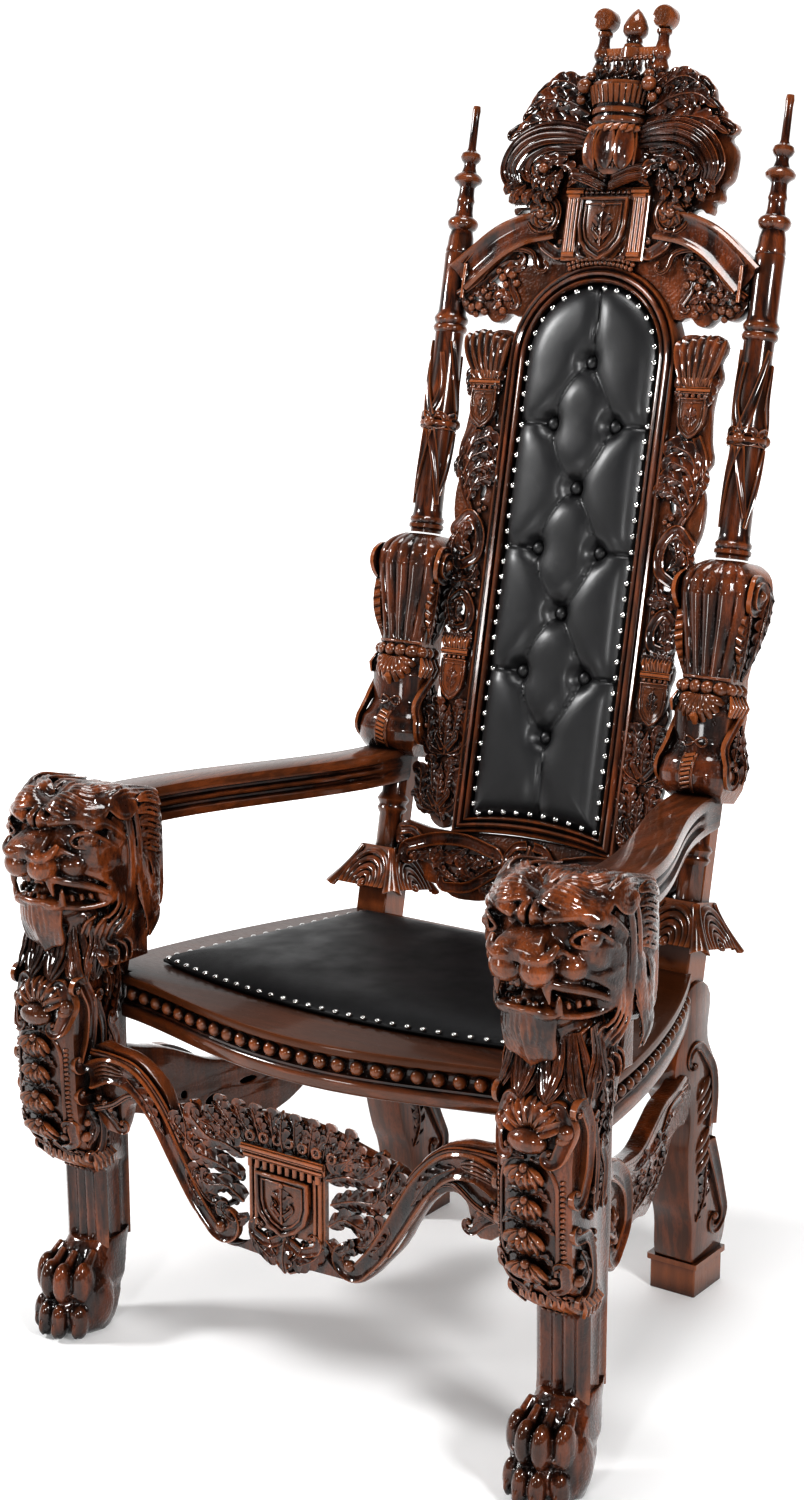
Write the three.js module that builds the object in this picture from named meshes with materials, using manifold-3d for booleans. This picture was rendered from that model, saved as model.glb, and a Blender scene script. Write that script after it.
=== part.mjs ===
// A tall carved throne: two lion-headed front legs, a bowed seat with a row of beads,
// a raked back with a buttoned pad, turned side columns and a pierced, crowned crest.
// Millimetres, +Z up, the sitter faces -Y, the origin is on the floor under the middle.

import * as THREE from 'three';
import { mergeVertices } from 'three/addons/utils/BufferGeometryUtils.js';
import Module from 'manifold-3d';

const wasm = await Module();
wasm.setup();

// ---------------------------------------------------------------- driving dimensions
const GAP = 0.3;

// The back leans by RAKE about a line on the floor. Its pieces are drawn upright in the
// back's own frame, where the posts' axes lie in the plane y = 0.
const RAKE = THREE.MathUtils.degToRad(12);
const RAKE_FOOT_Y = 106;

const POST_X = 255;
const POST_SIZE = 52;
const REAR_LEG_HALF = 31;
const COLUMN_RADIUS = 23.5;
const COLUMN_BOTTOM = 1073.5;
const STILE_TOP = 1004;
const STILE_HALF = 20;
const STILE_FRONT = -1;
const STILE_BACK = 25;

const FRAME_HALF = 137;
const FRAME_BOTTOM = 652;
const FRAME_TOP = 1473;
const FRAME_RIM = 27;
const FRAME_FRONT = -20;
const FRAME_BACK = 18;

const LEG_X = 387;
const LEG_HALF = 38;
const LEG_BACK = -240;
const HEAD_X = 381;
const HEAD_BACK = -222;
const MANE_Z = 680;

const SEAT_TOP = 500;
const SEAT_BOTTOM = 438;
const SEAT_BOARD = 12;
const SEAT_REAR = 195;
const SEAT_FRONT = -330;
const SEAT_STEPS = 6;

// The crest's rails end at the flat of the six-sided column shafts.
const SHAFT_RADIUS = 21.5;

const STRETCHER_FRONT = -338;
const STRETCHER_BACK = -306;
const STRETCHER_END = 326;

const SIDE_RAIL = 34;
const RAIL_HOLLOW = 9;
const BEAD_STEP = 26.4;

const ARM_TOP = 742;
const ARM_BOTTOM = 690;

// The side stretchers run from the front leg to the rear leg, in plan.
const SIDE_STRETCHER_START = [368, -246];
const SIDE_STRETCHER_END = [272, 200];
const SIDE_STRETCHER_LENGTH = 438;
const SIDE_STRETCHER_HALF = 14;
const SIDE_STRETCHER_TENON = [300, 352];

const WOOD = new THREE.MeshStandardMaterial({ color: 0x4a1f12, roughness: 0.3 });
const LEATHER = new THREE.MeshStandardMaterial({ color: 0x141416, roughness: 0.45 });

// ---------------------------------------------------------------- solids
function toSolid(geometry) {
  geometry.deleteAttribute('normal');
  geometry.deleteAttribute('uv');
  const merged = mergeVertices(geometry, 1e-3);
  const vertProperties = new Float32Array(merged.attributes.position.array);
  const triVerts = new Uint32Array(merged.index.array);
  return new wasm.Manifold(new wasm.Mesh({ numProp: 3, vertProperties, triVerts }));
}

function toGeometry(solid) {
  const mesh = solid.getMesh();
  const geometry = new THREE.BufferGeometry();
  geometry.setAttribute('position', new THREE.BufferAttribute(mesh.vertProperties, 3));
  geometry.setIndex(new THREE.BufferAttribute(mesh.triVerts, 1));
  geometry.computeVertexNormals();
  return geometry;
}

function join(geometries) {
  return geometries.map(toSolid).reduce((whole, piece) => whole.add(piece));
}

function cut(solid, ...geometries) {
  return geometries.map(toSolid).reduce((whole, piece) => whole.subtract(piece), solid);
}

// A box between two corners.
function block(low, high) {
  const size = high.map((value, axis) => value - low[axis]);
  const middle = high.map((value, axis) => (value + low[axis]) / 2);
  return new THREE.BoxGeometry(...size).translate(...middle);
}

// Turns every face over.
function flipped(geometry) {
  const index = geometry.index.array;
  for (let i = 0; i < index.length; i += 3) {
    [index[i], index[i + 1]] = [index[i + 1], index[i]];
  }
  return geometry;
}

function mirrored(geometry) {
  return flipped(geometry.clone().scale(-1, 1, 1));
}

function signedVolume(geometry) {
  const position = geometry.attributes.position;
  const index = geometry.index.array;
  const [a, b, c] = [new THREE.Vector3(), new THREE.Vector3(), new THREE.Vector3()];
  let sum = 0;
  for (let i = 0; i < index.length; i += 3) {
    a.fromBufferAttribute(position, index[i]);
    b.fromBufferAttribute(position, index[i + 1]);
    c.fromBufferAttribute(position, index[i + 2]);
    sum += a.dot(b.cross(c));
  }
  return sum;
}

// A closed skin over a row of rings with equal numbers of points.
function skin(rings) {
  const sides = rings[0].length;
  const points = rings.flat();
  const faces = [];
  const add = (a, b, c) => faces.push(a, b, c);
  for (let i = 0; i + 1 < rings.length; i += 1) {
    for (let j = 0; j < sides; j += 1) {
      const a = i * sides + j;
      const b = i * sides + ((j + 1) % sides);
      add(a, b, b + sides);
      add(a, b + sides, a + sides);
    }
  }
  for (const [ring, start] of [[rings[0], 0], [rings.at(-1), (rings.length - 1) * sides]]) {
    const middle = ring.reduce((sum, p) => sum.add(p), new THREE.Vector3()).divideScalar(sides);
    points.push(middle);
    for (let j = 0; j < sides; j += 1) {
      const [a, b] = [start + j, start + ((j + 1) % sides)];
      if (start === 0) add(b, a, points.length - 1);
      else add(a, b, points.length - 1);
    }
  }
  const geometry = new THREE.BufferGeometry().setFromPoints(points);
  geometry.setIndex(faces);
  return signedVolume(geometry) < 0 ? flipped(geometry) : geometry;
}

// A turned piece: radii and heights, from the bottom up, spun about an upright axis.
function turned(profile, sides) {
  const points = profile.map(([radius, height]) => new THREE.Vector2(radius, height));
  const first = new THREE.Vector2(0, profile[0][1]);
  const last = new THREE.Vector2(0, profile.at(-1)[1]);
  return new THREE.LatheGeometry([first, ...points, last], sides).rotateX(Math.PI / 2);
}

// A flat board cut to an outline in the XZ plane, between two depths.
function board(shape, front, back, curveSegments = 6) {
  const settings = { depth: back - front, bevelEnabled: false, curveSegments };
  return new THREE.ExtrudeGeometry(shape, settings).rotateX(Math.PI / 2).translate(0, back, 0);
}

function ball(x, y, z, radius, across = 6, up = 4) {
  return new THREE.SphereGeometry(radius, across, up).rotateX(Math.PI / 2).translate(x, y, z);
}

const bell = (value, middle, spread) => Math.exp(-(((value - middle) / spread) ** 2));
const valueAt = (value, t) => (typeof value === 'function' ? value(t) : value);

// ---------------------------------------------------------------- lines for carving
const spot = (x, z) => new THREE.Vector2(x, z);

function spline(points, steps) {
  const route = points.map(([x, z]) => new THREE.Vector3(x, z, 0));
  return new THREE.CatmullRomCurve3(route).getPoints(steps).map((p) => spot(p.x, p.y));
}

// Winds a line on from its last two points, in a curl whose radius shrinks to a third.
function curl(line, radius, turn, steps) {
  const wound = [...line];
  const last = line.at(-1);
  const before = line.at(-2);
  let heading = Math.atan2(last.y - before.y, last.x - before.x);
  for (let i = 0; i < steps; i += 1) {
    const bend = turn / steps;
    const reach = 2 * radius * (1 - 0.66 * (i / steps)) * Math.sin(Math.abs(bend) / 2);
    heading += bend / 2;
    const end = wound.at(-1);
    wound.push(spot(end.x + reach * Math.cos(heading), end.y + reach * Math.sin(heading)));
    heading += bend / 2;
  }
  return wound;
}

// A carved ribbon along a line in the XZ plane, flat behind. In front it has a sharp ridge,
// or a flat band of the given share of its width.
function ribbon(line, { half, front, back, flat = 0 }) {
  const rings = line.map((point, i) => {
    const t = i / (line.length - 1);
    const ahead = line[Math.min(i + 1, line.length - 1)];
    const behind = line[Math.max(i - 1, 0)];
    const side = spot(behind.y - ahead.y, ahead.x - behind.x).normalize();
    const width = valueAt(half, t);
    const ridge = valueAt(front, t);
    const crown = flat === 0 ? [[0, ridge]] : [[flat, ridge], [-flat, ridge]];
    const section = [[-1, back], [1, back], ...crown];
    return section.map(([across, y]) => (
      new THREE.Vector3(point.x + side.x * width * across, y, point.y + side.y * width * across)
    ));
  });
  return skin(rings);
}

// The half width of an acanthus leaf along its length, with lobed edges and a pointed tip.
function leafHalf(width, lobes) {
  return (t) => {
    const body = Math.sin(Math.PI * Math.min(1, 0.3 + 0.7 * t));
    const lobe = lobes > 1 ? 0.82 + 0.18 * Math.cos(2 * Math.PI * lobes * t) : 1;
    return Math.max(0.8, width * body * lobe);
  };
}

function leaf(points, width, front, back, lobes = 3) {
  return ribbon(spline(points, lobes * 2), { half: leafHalf(width, lobes), front, back });
}

// A shield board with a square top and a pointed foot.
function shieldShape(x, top, halfWidth, height) {
  const shape = new THREE.Shape();
  shape.moveTo(x - halfWidth, top);
  shape.lineTo(x - halfWidth, top - height * 0.6);
  shape.quadraticCurveTo(x - halfWidth * 0.9, top - height * 0.9, x, top - height);
  shape.quadraticCurveTo(x + halfWidth * 0.9, top - height * 0.9, x + halfWidth, top - height * 0.6);
  shape.lineTo(x + halfWidth, top);
  shape.closePath();
  return shape;
}

// ---------------------------------------------------------------- moulded forms
// A rounded block whose skin is pushed out (or in) around named spots. Every spot off the
// middle works on both sides. size holds the half sizes, and squareness 2 is an ellipsoid.
function moulded({ centre, size, squareness, across, up, bumps }) {
  const geometry = new THREE.SphereGeometry(1, across, up).rotateX(Math.PI / 2);
  const position = geometry.attributes.position;
  const point = new THREE.Vector3();
  const target = new THREE.Vector3();
  const spots = bumps.flatMap(([x, ...rest]) => (
    x === 0 ? [[x, ...rest]] : [[x, ...rest], [-x, ...rest]]
  ));
  for (let i = 0; i < position.count; i += 1) {
    point.fromBufferAttribute(position, i);
    const powers = point.toArray().map((value) => Math.abs(value) ** squareness);
    point.divideScalar((powers[0] + powers[1] + powers[2]) ** (1 / squareness));
    const outward = point.clone().normalize();
    point.set(point.x * size[0], point.y * size[1] + centre[1], point.z * size[2] + centre[2]);
    let push = 0;
    for (const [x, y, z, spread, height] of spots) {
      push += height * bell(point.distanceTo(target.set(x, y, z)), 0, spread);
    }
    point.addScaledVector(outward, push);
    position.setXYZ(i, point.x + centre[0], point.y, point.z);
  }
  return geometry;
}

// ---------------------------------------------------------------- outlines of seat and back
// Half the width of the seat at a depth y behind the front legs.
function seatHalf(y) {
  const u = (y - LEG_BACK) / (SEAT_REAR - LEG_BACK);
  return 409 - 48 * u - 78 * u * u;
}

// The bowed front edge of the seat.
function seatFront(x) {
  return SEAT_FRONT + 9.81e-4 * x ** 2 - 3.4e-9 * x ** 4;
}

// The seat's right half as a row of points from the front middle to the rear middle.
function seatOutline(inset) {
  const points = [];
  const steps = SEAT_STEPS;
  const innerLeg = LEG_X - LEG_HALF - GAP;
  for (let i = 0; i <= steps; i += 1) {
    const x = (innerLeg * i) / steps;
    points.push([x, seatFront(x) + inset]);
  }
  points.push([innerLeg, LEG_BACK + GAP]);
  for (let i = 0; i <= steps; i += 1) {
    const y = LEG_BACK + GAP + ((SEAT_REAR - LEG_BACK - GAP) * i) / steps;
    points.push([seatHalf(y) - inset, y]);
  }
  return points;
}

// The board's outline lies in the XY plane, so it is extruded upwards.
function flatBoard(points, bottom, top) {
  const shape = new THREE.Shape(points.map(([x, y]) => new THREE.Vector2(x, y)));
  const settings = { depth: top - bottom, bevelEnabled: false };
  return new THREE.ExtrudeGeometry(shape, settings).translate(0, 0, bottom);
}

function bothHalves(points) {
  return [...points, ...points.filter(([x]) => x > 0).map(([x, y]) => [-x, y]).reverse()];
}

// The arched outline of the back frame, grown or shrunk by an inset, as points.
function archPoints(inset, steps = 10) {
  const half = FRAME_HALF - inset;
  const bottom = FRAME_BOTTOM + inset;
  const spring = FRAME_TOP - FRAME_HALF;
  const sag = 12;
  const points = [];
  for (let i = 0; i <= steps; i += 1) {
    const angle = (Math.PI * i) / steps;
    points.push([half * Math.cos(angle), spring + half * Math.sin(angle)]);
  }
  for (let i = 0; i <= 4; i += 1) {
    const x = -half + (half * i) / 2;
    points.push([x, bottom - sag * (x / half) ** 2]);
  }
  return points;
}

function archBoard(inset, front, back) {
  return board(new THREE.Shape(archPoints(inset).map(([x, z]) => spot(x, z))), front, back);
}

// ---------------------------------------------------------------- front leg with lion's head
function pawParts() {
  const instep = moulded({
    centre: [LEG_X, -338, 38], size: [54, 58, 62], squareness: 2.6, across: 8, up: 5,
    bumps: [[0, -300, 90, 40, 6]],
  });
  const toes = [-42, -15, 14, 42].map((offset) => {
    const reach = 12 - Math.abs(offset) / 6;
    return new THREE.SphereGeometry(1, 5, 3).rotateX(Math.PI / 2).scale(16, 30, 31)
      .translate(LEG_X + offset, -372 - reach, 24);
  });
  return [instep, ...toes];
}

// One ring of the leg's skin. groove sinks the middle of the front, and flute the sides.
function legRing(z, half, front, groove = 0, flute = 0) {
  const depth = LEG_BACK - 2 - 30 * bell(z, 20, 70) - front;
  const across = [[-0.82, 3], [-0.36, 0], [0, groove], [0.36, 0], [0.82, 3]];
  const around = [[1, 0.3], [0.94 - flute, 0.52], [0.62, 1], [-0.62, 1], [flute - 0.94, 0.52], [-1, 0.3]];
  const ring = [
    ...across.map(([x, sink]) => [x * half, front + sink]),
    ...around.map(([x, share]) => [x * half, front + depth * share]),
  ];
  return ring.map(([x, y]) => new THREE.Vector3(LEG_X + x, y, z));
}

// The shank, the bulging cartouche with its chain of flowers, the boss, the fan of leaves
// above it and the falling locks under the lion's chin, as one skin.
function legBody() {
  const rings = [[52, -326, 0], [108, -311, 8], [228, -314, 9]].map(([z, front, groove]) => (
    legRing(z, LEG_HALF, front, groove, 0.14)
  ));
  const [bottom, top, flowerStep] = [240, 472, 77];
  const count = 6;
  for (let i = 0; i <= count; i += 1) {
    const z = THREE.MathUtils.lerp(bottom, top, i / count);
    const swell = Math.sin((Math.PI * (i + 1)) / (count + 3));
    const flower = -9 * Math.sin((Math.PI * (z - bottom)) / flowerStep) ** 2;
    rings.push(legRing(z, 48 + 22 * swell, -330 - 44 * Math.min(1, (i + 1) / 7), 3 + flower, 0.1));
  }
  rings.push(legRing(488, 58, -368, 2));
  rings.push(legRing(503, 56, -380, -12));
  rings.push(legRing(520, 52, -366, 2));
  rings.push(legRing(548, 66, -384, -6, 0.1));
  rings.push(legRing(640, 58, -370, -20, 0.1));
  return skin(rings);
}

// The lion's head looks along -Y, with a heavy brow, full lips and an open mouth.
function lionHead() {
  return moulded({
    centre: [HEAD_X, -318, 678], size: [78, 94, 88], squareness: 3, across: 14, up: 8,
    bumps: [
      [0, -420, 690, 46, 20], [28, -420, 672, 24, 12], [36, -410, 728, 20, -16],
      [34, -395, 758, 26, 13], [0, -400, 768, 14, -8], [46, -385, 734, 12, 7],
      [80, -330, 668, 34, 8], [60, -390, 640, 24, -8], [0, -410, 616, 26, 8],
      [66, -360, 600, 34, -18],
    ],
  });
}

// The open mouth runs across the muzzle and rises towards its corners.
function mouth() {
  const shape = new THREE.Shape();
  shape.moveTo(-70, 660);
  shape.quadraticCurveTo(0, 636, 70, 660);
  shape.lineTo(70, 640);
  shape.quadraticCurveTo(0, 618, -70, 640);
  shape.closePath();
  return board(shape, -450, -360, 3).translate(HEAD_X, 0, 0);
}

function fangs() {
  return [-28, 28].map((x) => (
    new THREE.ConeGeometry(7, 30, 4).rotateX(-Math.PI / 2).translate(HEAD_X + x, -392, 650)
  ));
}

// The mane is a collar of locks around the back of the head.
function mane() {
  const locks = 12;
  const ring = (y, scale, ripple) => {
    const points = [];
    for (let i = 0; i < locks; i += 1) {
      const angle = (2 * Math.PI * i) / locks;
      const reach = scale * (1 + (i % 2 ? ripple : -ripple));
      const [x, z] = [90 * reach * Math.cos(angle), 95 * reach * Math.sin(angle)];
      points.push(new THREE.Vector3(HEAD_X + x, y, MANE_Z + z));
    }
    return points;
  };
  return skin([ring(-306, 0.84, 0), ring(-285, 0.96, 0.04), ring(HEAD_BACK + 8, 0.94, 0.05)]);
}

function frontLeg() {
  const sole = block([LEG_X - 90, -460, -60], [LEG_X + 90, -200, 0]);
  const head = cut(join([lionHead()]), mouth()).add(join([...fangs(), mane()]));
  const body = join([...pawParts(), legBody()]);
  const seat = flatBoard(bothHalves(seatOutline(-GAP)), SEAT_BOTTOM - GAP, SEAT_TOP + GAP);
  const behindHead = block([200, HEAD_BACK, 540], [560, 0, 900]);
  const behindLeg = block([200, LEG_BACK, -10], [560, 0, 540]);
  const stretcherEnd = block(
    [200, STRETCHER_FRONT - 24, 180], [STRETCHER_END + GAP, STRETCHER_BACK + GAP, 432],
  );
  return cut(head.add(body), sole, seat, behindHead, behindLeg, stretcherEnd);
}

// ---------------------------------------------------------------- rear post
function intoBack(geometry) {
  return geometry.rotateX(-RAKE).translate(0, RAKE_FOOT_Y, 0);
}

// A board cut to an outline in the YZ plane, centred on the post.
function sideways(shape, half) {
  const geometry = new THREE.ExtrudeGeometry(shape, { depth: 2 * half, bevelEnabled: false });
  return geometry.rotateX(Math.PI / 2).rotateZ(Math.PI / 2).translate(POST_X - half, 0, 0);
}

// The scrolled rear leg, drawn from the side. It leans inwards towards its foot.
function rearLeg() {
  const frontEdge = [
    [178, 470], [176, 420], [160, 396], [155, 350], [178, 330], [196, 306], [204, 231], [222, 150],
    [248, 108], [262, 60], [268, 0],
  ];
  const rearEdge = [
    [330, 0], [334, 96], [316, 124], [290, 178], [270, 212], [270, 300], [262, 350], [232, 400],
    [236, 470],
  ];
  const shape = new THREE.Shape([...frontEdge, ...rearEdge].map(([y, z]) => spot(y, z)));
  const geometry = sideways(shape, REAR_LEG_HALF);
  const position = geometry.attributes.position;
  for (let i = 0; i < position.count; i += 1) {
    const lean = Math.max(0, 300 - position.getZ(i)) * 0.06;
    position.setX(i, position.getX(i) - lean);
  }
  return geometry;
}

// Raised curls on the side of the rear leg, seen as carved scrolls at the knee and foot.
function rearLegScrolls() {
  const knee = curl([spot(226, 300), spot(228, 360)], 30, 3.2, 2);
  const foot = curl([spot(250, 180), spot(290, 96)], 26, 3.4, 2);
  return [knee, foot].map((line, i) => {
    const scroll = ribbon(line, { half: 9, front: -7, back: 6 });
    return scroll.rotateZ(Math.PI / 2).translate(POST_X + REAR_LEG_HALF - i * 14, 0, 0);
  });
}

// The drooping leaves of the capital flare out over the square post.
function capital() {
  const rings = [[28, 545, 0], [58, 538, 5], [62, 548, 5], [27, 604, 0]];
  return skin(rings.map(([half, z, dip]) => {
    const ring = [];
    for (let i = 0; i < 8; i += 1) {
      const angle = (Math.PI * i) / 4;
      const corner = i % 2;
      const reach = half / Math.max(Math.abs(Math.cos(angle)), Math.abs(Math.sin(angle)));
      const [x, y] = [reach * Math.cos(angle), reach * Math.sin(angle)];
      ring.push(new THREE.Vector3(POST_X + x, y, z + dip * (1 - 2 * corner)));
    }
    return ring;
  }));
}

function rearPost() {
  const half = POST_SIZE / 2;
  const post = block([POST_X - half, -half, 455], [POST_X + half, half, 560]);
  const stile = block(
    [POST_X - STILE_HALF, STILE_FRONT, 590], [POST_X + STILE_HALF, STILE_BACK, STILE_TOP],
  );
  const column = turned([[18, 595], [18, 662], [25, 676], [18, 690], [18, 730]], 6);
  const upper = join([post, stile, column.translate(POST_X, 0, 0), capital()].map(intoBack));
  const lower = join([rearLeg(), ...rearLegScrolls()]);
  const seat = flatBoard(bothHalves(seatOutline(-GAP)), SEAT_BOTTOM - GAP, SEAT_TOP + GAP);
  return cut(upper.add(lower), armNotch(), seat, stretcherMortise());
}

// The y of a raked line at height z, for a line at depth y in the back's own frame.
function rakeY(y, z) {
  return RAKE_FOOT_Y + y / Math.cos(RAKE) + z * Math.tan(RAKE);
}

// Turns a piece drawn along X from the front leg into the side stretcher's own plane.
function alongSide(geometry) {
  const [startX, startY] = SIDE_STRETCHER_START;
  const [endX, endY] = SIDE_STRETCHER_END;
  return geometry.rotateZ(Math.atan2(endY - startY, endX - startX)).translate(startX, startY, 0);
}

// The pocket in the rear leg that takes the end of the side stretcher.
function stretcherMortise() {
  const [low, high] = SIDE_STRETCHER_TENON;
  const half = SIDE_STRETCHER_HALF + GAP;
  return alongSide(block([380, -half, low - GAP], [SIDE_STRETCHER_LENGTH + GAP, half, high + GAP]));
}

// Everything in front of the stile and above the underside of the arm.
function armNotch() {
  const shape = new THREE.Shape([
    spot(0, ARM_BOTTOM - GAP), spot(rakeY(STILE_FRONT, ARM_BOTTOM), ARM_BOTTOM - GAP),
    spot(rakeY(STILE_FRONT, 1200), 1200), spot(0, 1200),
  ]);
  return sideways(shape, 100);
}

// ---------------------------------------------------------------- arm
// A flat board with rounded edges that sweeps from the lion's mane to the post.
function arm() {
  const steps = 8;
  const [yFront, yRear] = [HEAD_BACK + GAP, 262];
  const rings = [];
  for (let i = 0; i <= steps; i += 1) {
    const t = i / steps;
    const ease = t * t * (3 - 2 * t);
    const outer = THREE.MathUtils.lerp(424, 289, ease);
    const inner = THREE.MathUtils.lerp(350, 229, ease);
    const sink = Math.min(1, Math.sin(Math.PI * t) * 3) * 7;
    const lift = 6 * Math.max(0, 1 - t / 0.8);
    const [low, high] = [ARM_BOTTOM + lift, ARM_TOP + lift];
    const y = THREE.MathUtils.lerp(yFront, yRear, t);
    const middle = (low + high) / 2;
    const section = [
      [outer - 8, low], [outer, low + 10], [outer, high - 10], [outer - 10, high],
      [inner + 6, high], [inner + sink, middle], [inner + 6, low],
    ];
    rings.push(section.map(([x, z]) => new THREE.Vector3(x, y, z)));
  }
  const stile = intoBack(block([POST_X - 100, STILE_FRONT - GAP, 500], [POST_X + 100, 200, 1100]));
  return cut(join([skin(rings)]), stile);
}

// ---------------------------------------------------------------- corbel
// The acanthus bracket between arm and column: a beaded roll below, a shell, a corded band
// and a long fluted leaf that curls over into the upper roll.
function corbel() {
  // Each station gives its height, half width, reach in front of the axis and reach behind.
  const stations = [
    [730, 34, 20, -1], [756, 44, 48, -1], [786, 50, 56, -1], [820, 40, 38, -1], [856, 43, 50, -1],
    [882, 36, 38, -1], [898, 41, 46, -1], [912, 36, 39, -1], [1004, 48, 53, -1], [1006, 48, 53, 28],
    [1042, 54, 54, 36], [COLUMN_BOTTOM - GAP, 44, 32, 28],
  ];
  const rings = stations.map(([z, half, reach, behind]) => {
    const rear = behind < 0 ? STILE_FRONT - GAP : behind;
    const flute = z > 905 ? 5 : 0;
    const section = [
      [1, rear], [-1, rear], [-1, -reach * 0.5], [-0.6, -reach], [-0.3, -reach + flute],
      [0.3, -reach + flute], [0.6, -reach], [1, -reach * 0.5],
    ];
    return section.map(([x, y]) => new THREE.Vector3(POST_X + x * half, y, z));
  });
  const volutes = [[784, -18, 27, 53], [1034, 12, 23, 58]].map(([z, y, radius, half]) => {
    const roll = new THREE.CylinderGeometry(radius, radius, 2 * half, 7);
    return roll.rotateZ(Math.PI / 2).translate(POST_X, y, z);
  });
  const behindRoll = block([POST_X - 70, STILE_FRONT - GAP, 700], [POST_X + 70, 60, STILE_TOP + GAP]);
  const solid = cut(join([skin(rings), ...volutes]), behindRoll);
  const floor = new THREE.BoxGeometry(300, 400, 200);
  floor.translate(POST_X, rakeY(0, ARM_TOP) - RAKE_FOOT_Y, ARM_TOP + GAP - 100).rotateX(RAKE);
  return cut(solid, floor);
}

// ---------------------------------------------------------------- upper column and finial
function upperColumn() {
  const r = COLUMN_RADIUS;
  const profile = [
    [r, COLUMN_BOTTOM], [r + 3, 1102], [SHAFT_RADIUS, 1114], [SHAFT_RADIUS, 1384], [r + 2, 1395],
    [SHAFT_RADIUS, 1406], [r - 4, 1526], [r, 1534], [13, 1544], [23, 1562], [11, 1576], [10, 1606],
    [21.5, 1627], [9, 1642], [15, 1661], [6, 1674], [5, 1706],
  ];
  const vine = [];
  const steps = 8;
  for (let i = 0; i <= steps; i += 1) {
    const t = i / steps;
    const angle = -2.2 + 2 * Math.PI * 1.5 * t;
    const z = 1128 + 252 * t;
    const width = 9 + 4 * Math.cos(6 * Math.PI * t);
    const ring = [[r - 6, -width], [r + 3, 0], [r - 6, width]].map(([reach, rise]) => (
      new THREE.Vector3(reach * Math.cos(angle), reach * Math.sin(angle), z + rise)
    ));
    vine.push(ring);
  }
  return join([turned(profile, 6), skin(vine)]);
}

// ---------------------------------------------------------------- seat
// The row of beads in the hollow of a rail: a strip whose outer edge swells at every bead.
// line gives the point and the outward direction at a distance along the rail.
function beadStrip(line, start, count, step) {
  const [proud, depth, halfHeight] = [13, 10, 11];
  const middle = (SEAT_BOTTOM + SEAT_TOP) / 2 + 3;
  const edge = [];
  for (let i = 0; i <= 2 * count; i += 1) {
    const reach = i % 2 ? proud : 2;
    const [x, y, outX, outY] = line(start + (i * step) / 2);
    edge.push([x + outX * reach, y + outY * reach]);
  }
  const inner = [2 * count, count, 0].map((i) => {
    const [x, y, outX, outY] = line(start + (i * step) / 2);
    return [x - outX * depth, y - outY * depth];
  });
  return flatBoard([...edge, ...inner], middle - halfHeight, middle + halfHeight);
}

// The front rail with its two bands, the hollow between them and the row of beads in it.
function railLayers(outline) {
  const [low, high] = [SEAT_BOTTOM, SEAT_TOP - SEAT_BOARD - GAP];
  return [flatBoard(outline(0), low, low + 22), flatBoard(outline(RAIL_HOLLOW), low + 20, high)];
}

function frontRail() {
  const width = 42;
  const ring = (inset) => {
    const front = seatOutline(inset).slice(0, SEAT_STEPS + 1);
    const left = front.slice(1).map(([x, y]) => [-x, y]).reverse();
    const outer = [...left, ...front];
    const inner = outer.map(([x]) => [x, Math.min(seatFront(x) + width, LEG_BACK - 3)]).reverse();
    return [...outer, ...inner];
  };
  const count = 24;
  const line = (x) => [x, seatFront(x) + RAIL_HOLLOW, 0, -1];
  const beads = beadStrip(line, (-count / 2) * BEAD_STEP, count, BEAD_STEP);
  return join([...railLayers(ring), beads]);
}

function sideRail() {
  const ring = (inset) => {
    const outer = seatOutline(inset).slice(SEAT_STEPS + 2);
    const inner = outer.map(([x, y]) => [x - SIDE_RAIL + inset, y]).reverse();
    return [...outer, ...inner];
  };
  const line = (y) => [seatHalf(y) - RAIL_HOLLOW, y, 1, 0];
  const beads = beadStrip(line, LEG_BACK + 6, 15, BEAD_STEP);
  return join([...railLayers(ring), beads]);
}

function rearRail() {
  const depth = 32;
  const inside = (y) => seatHalf(y) - SIDE_RAIL - GAP;
  const half = [[inside(SEAT_REAR), SEAT_REAR], [inside(SEAT_REAR - depth) - GAP, SEAT_REAR - depth]];
  const outline = [...half, ...half.map(([x, y]) => [-x, y]).reverse()];
  return join([flatBoard(outline, SEAT_BOTTOM, SEAT_TOP - SEAT_BOARD - GAP)]);
}

function seatBoard() {
  return join([flatBoard(bothHalves(seatOutline(0)), SEAT_TOP - SEAT_BOARD, SEAT_TOP)]);
}

// The leather pad is pointed at its two front corners and crowned in the middle.
function seatPad() {
  const [cornerX, cornerY, sideX, rearY, bow, middle] = [335, -188, 250, 150, 52, -30];
  const half = [];
  for (let i = 0; i <= 4; i += 1) {
    half.push([(cornerX * i) / 4, cornerY - bow * (1 - (i / 4) ** 2)]);
  }
  half.push([(cornerX + sideX) / 2, (cornerY + rearY) / 2], [sideX, rearY], [0, rearY]);
  const outline = bothHalves(half);
  const layers = [[1, 0], [0.985, 12], [0.9, 22], [0.6, 28]].map(([scale, rise]) => (
    outline.map(([x, y]) => (
      new THREE.Vector3(x * scale, middle + (y - middle) * scale, SEAT_TOP + GAP + rise)
    ))
  ));
  return join([skin(layers)]);
}

// ---------------------------------------------------------------- back frame and pad
// A skin that closes on itself both ways, for a moulding that runs round an opening.
function hoop(rings) {
  const sides = rings[0].length;
  const faces = [];
  for (let i = 0; i < rings.length; i += 1) {
    const next = (i + 1) % rings.length;
    for (let j = 0; j < sides; j += 1) {
      const [a, b] = [i * sides + j, i * sides + ((j + 1) % sides)];
      const [c, d] = [next * sides + j, next * sides + ((j + 1) % sides)];
      faces.push(a, b, d, a, d, c);
    }
  }
  const geometry = new THREE.BufferGeometry().setFromPoints(rings.flat());
  geometry.setIndex(faces);
  return signedVolume(geometry) < 0 ? flipped(geometry) : geometry;
}

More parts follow.
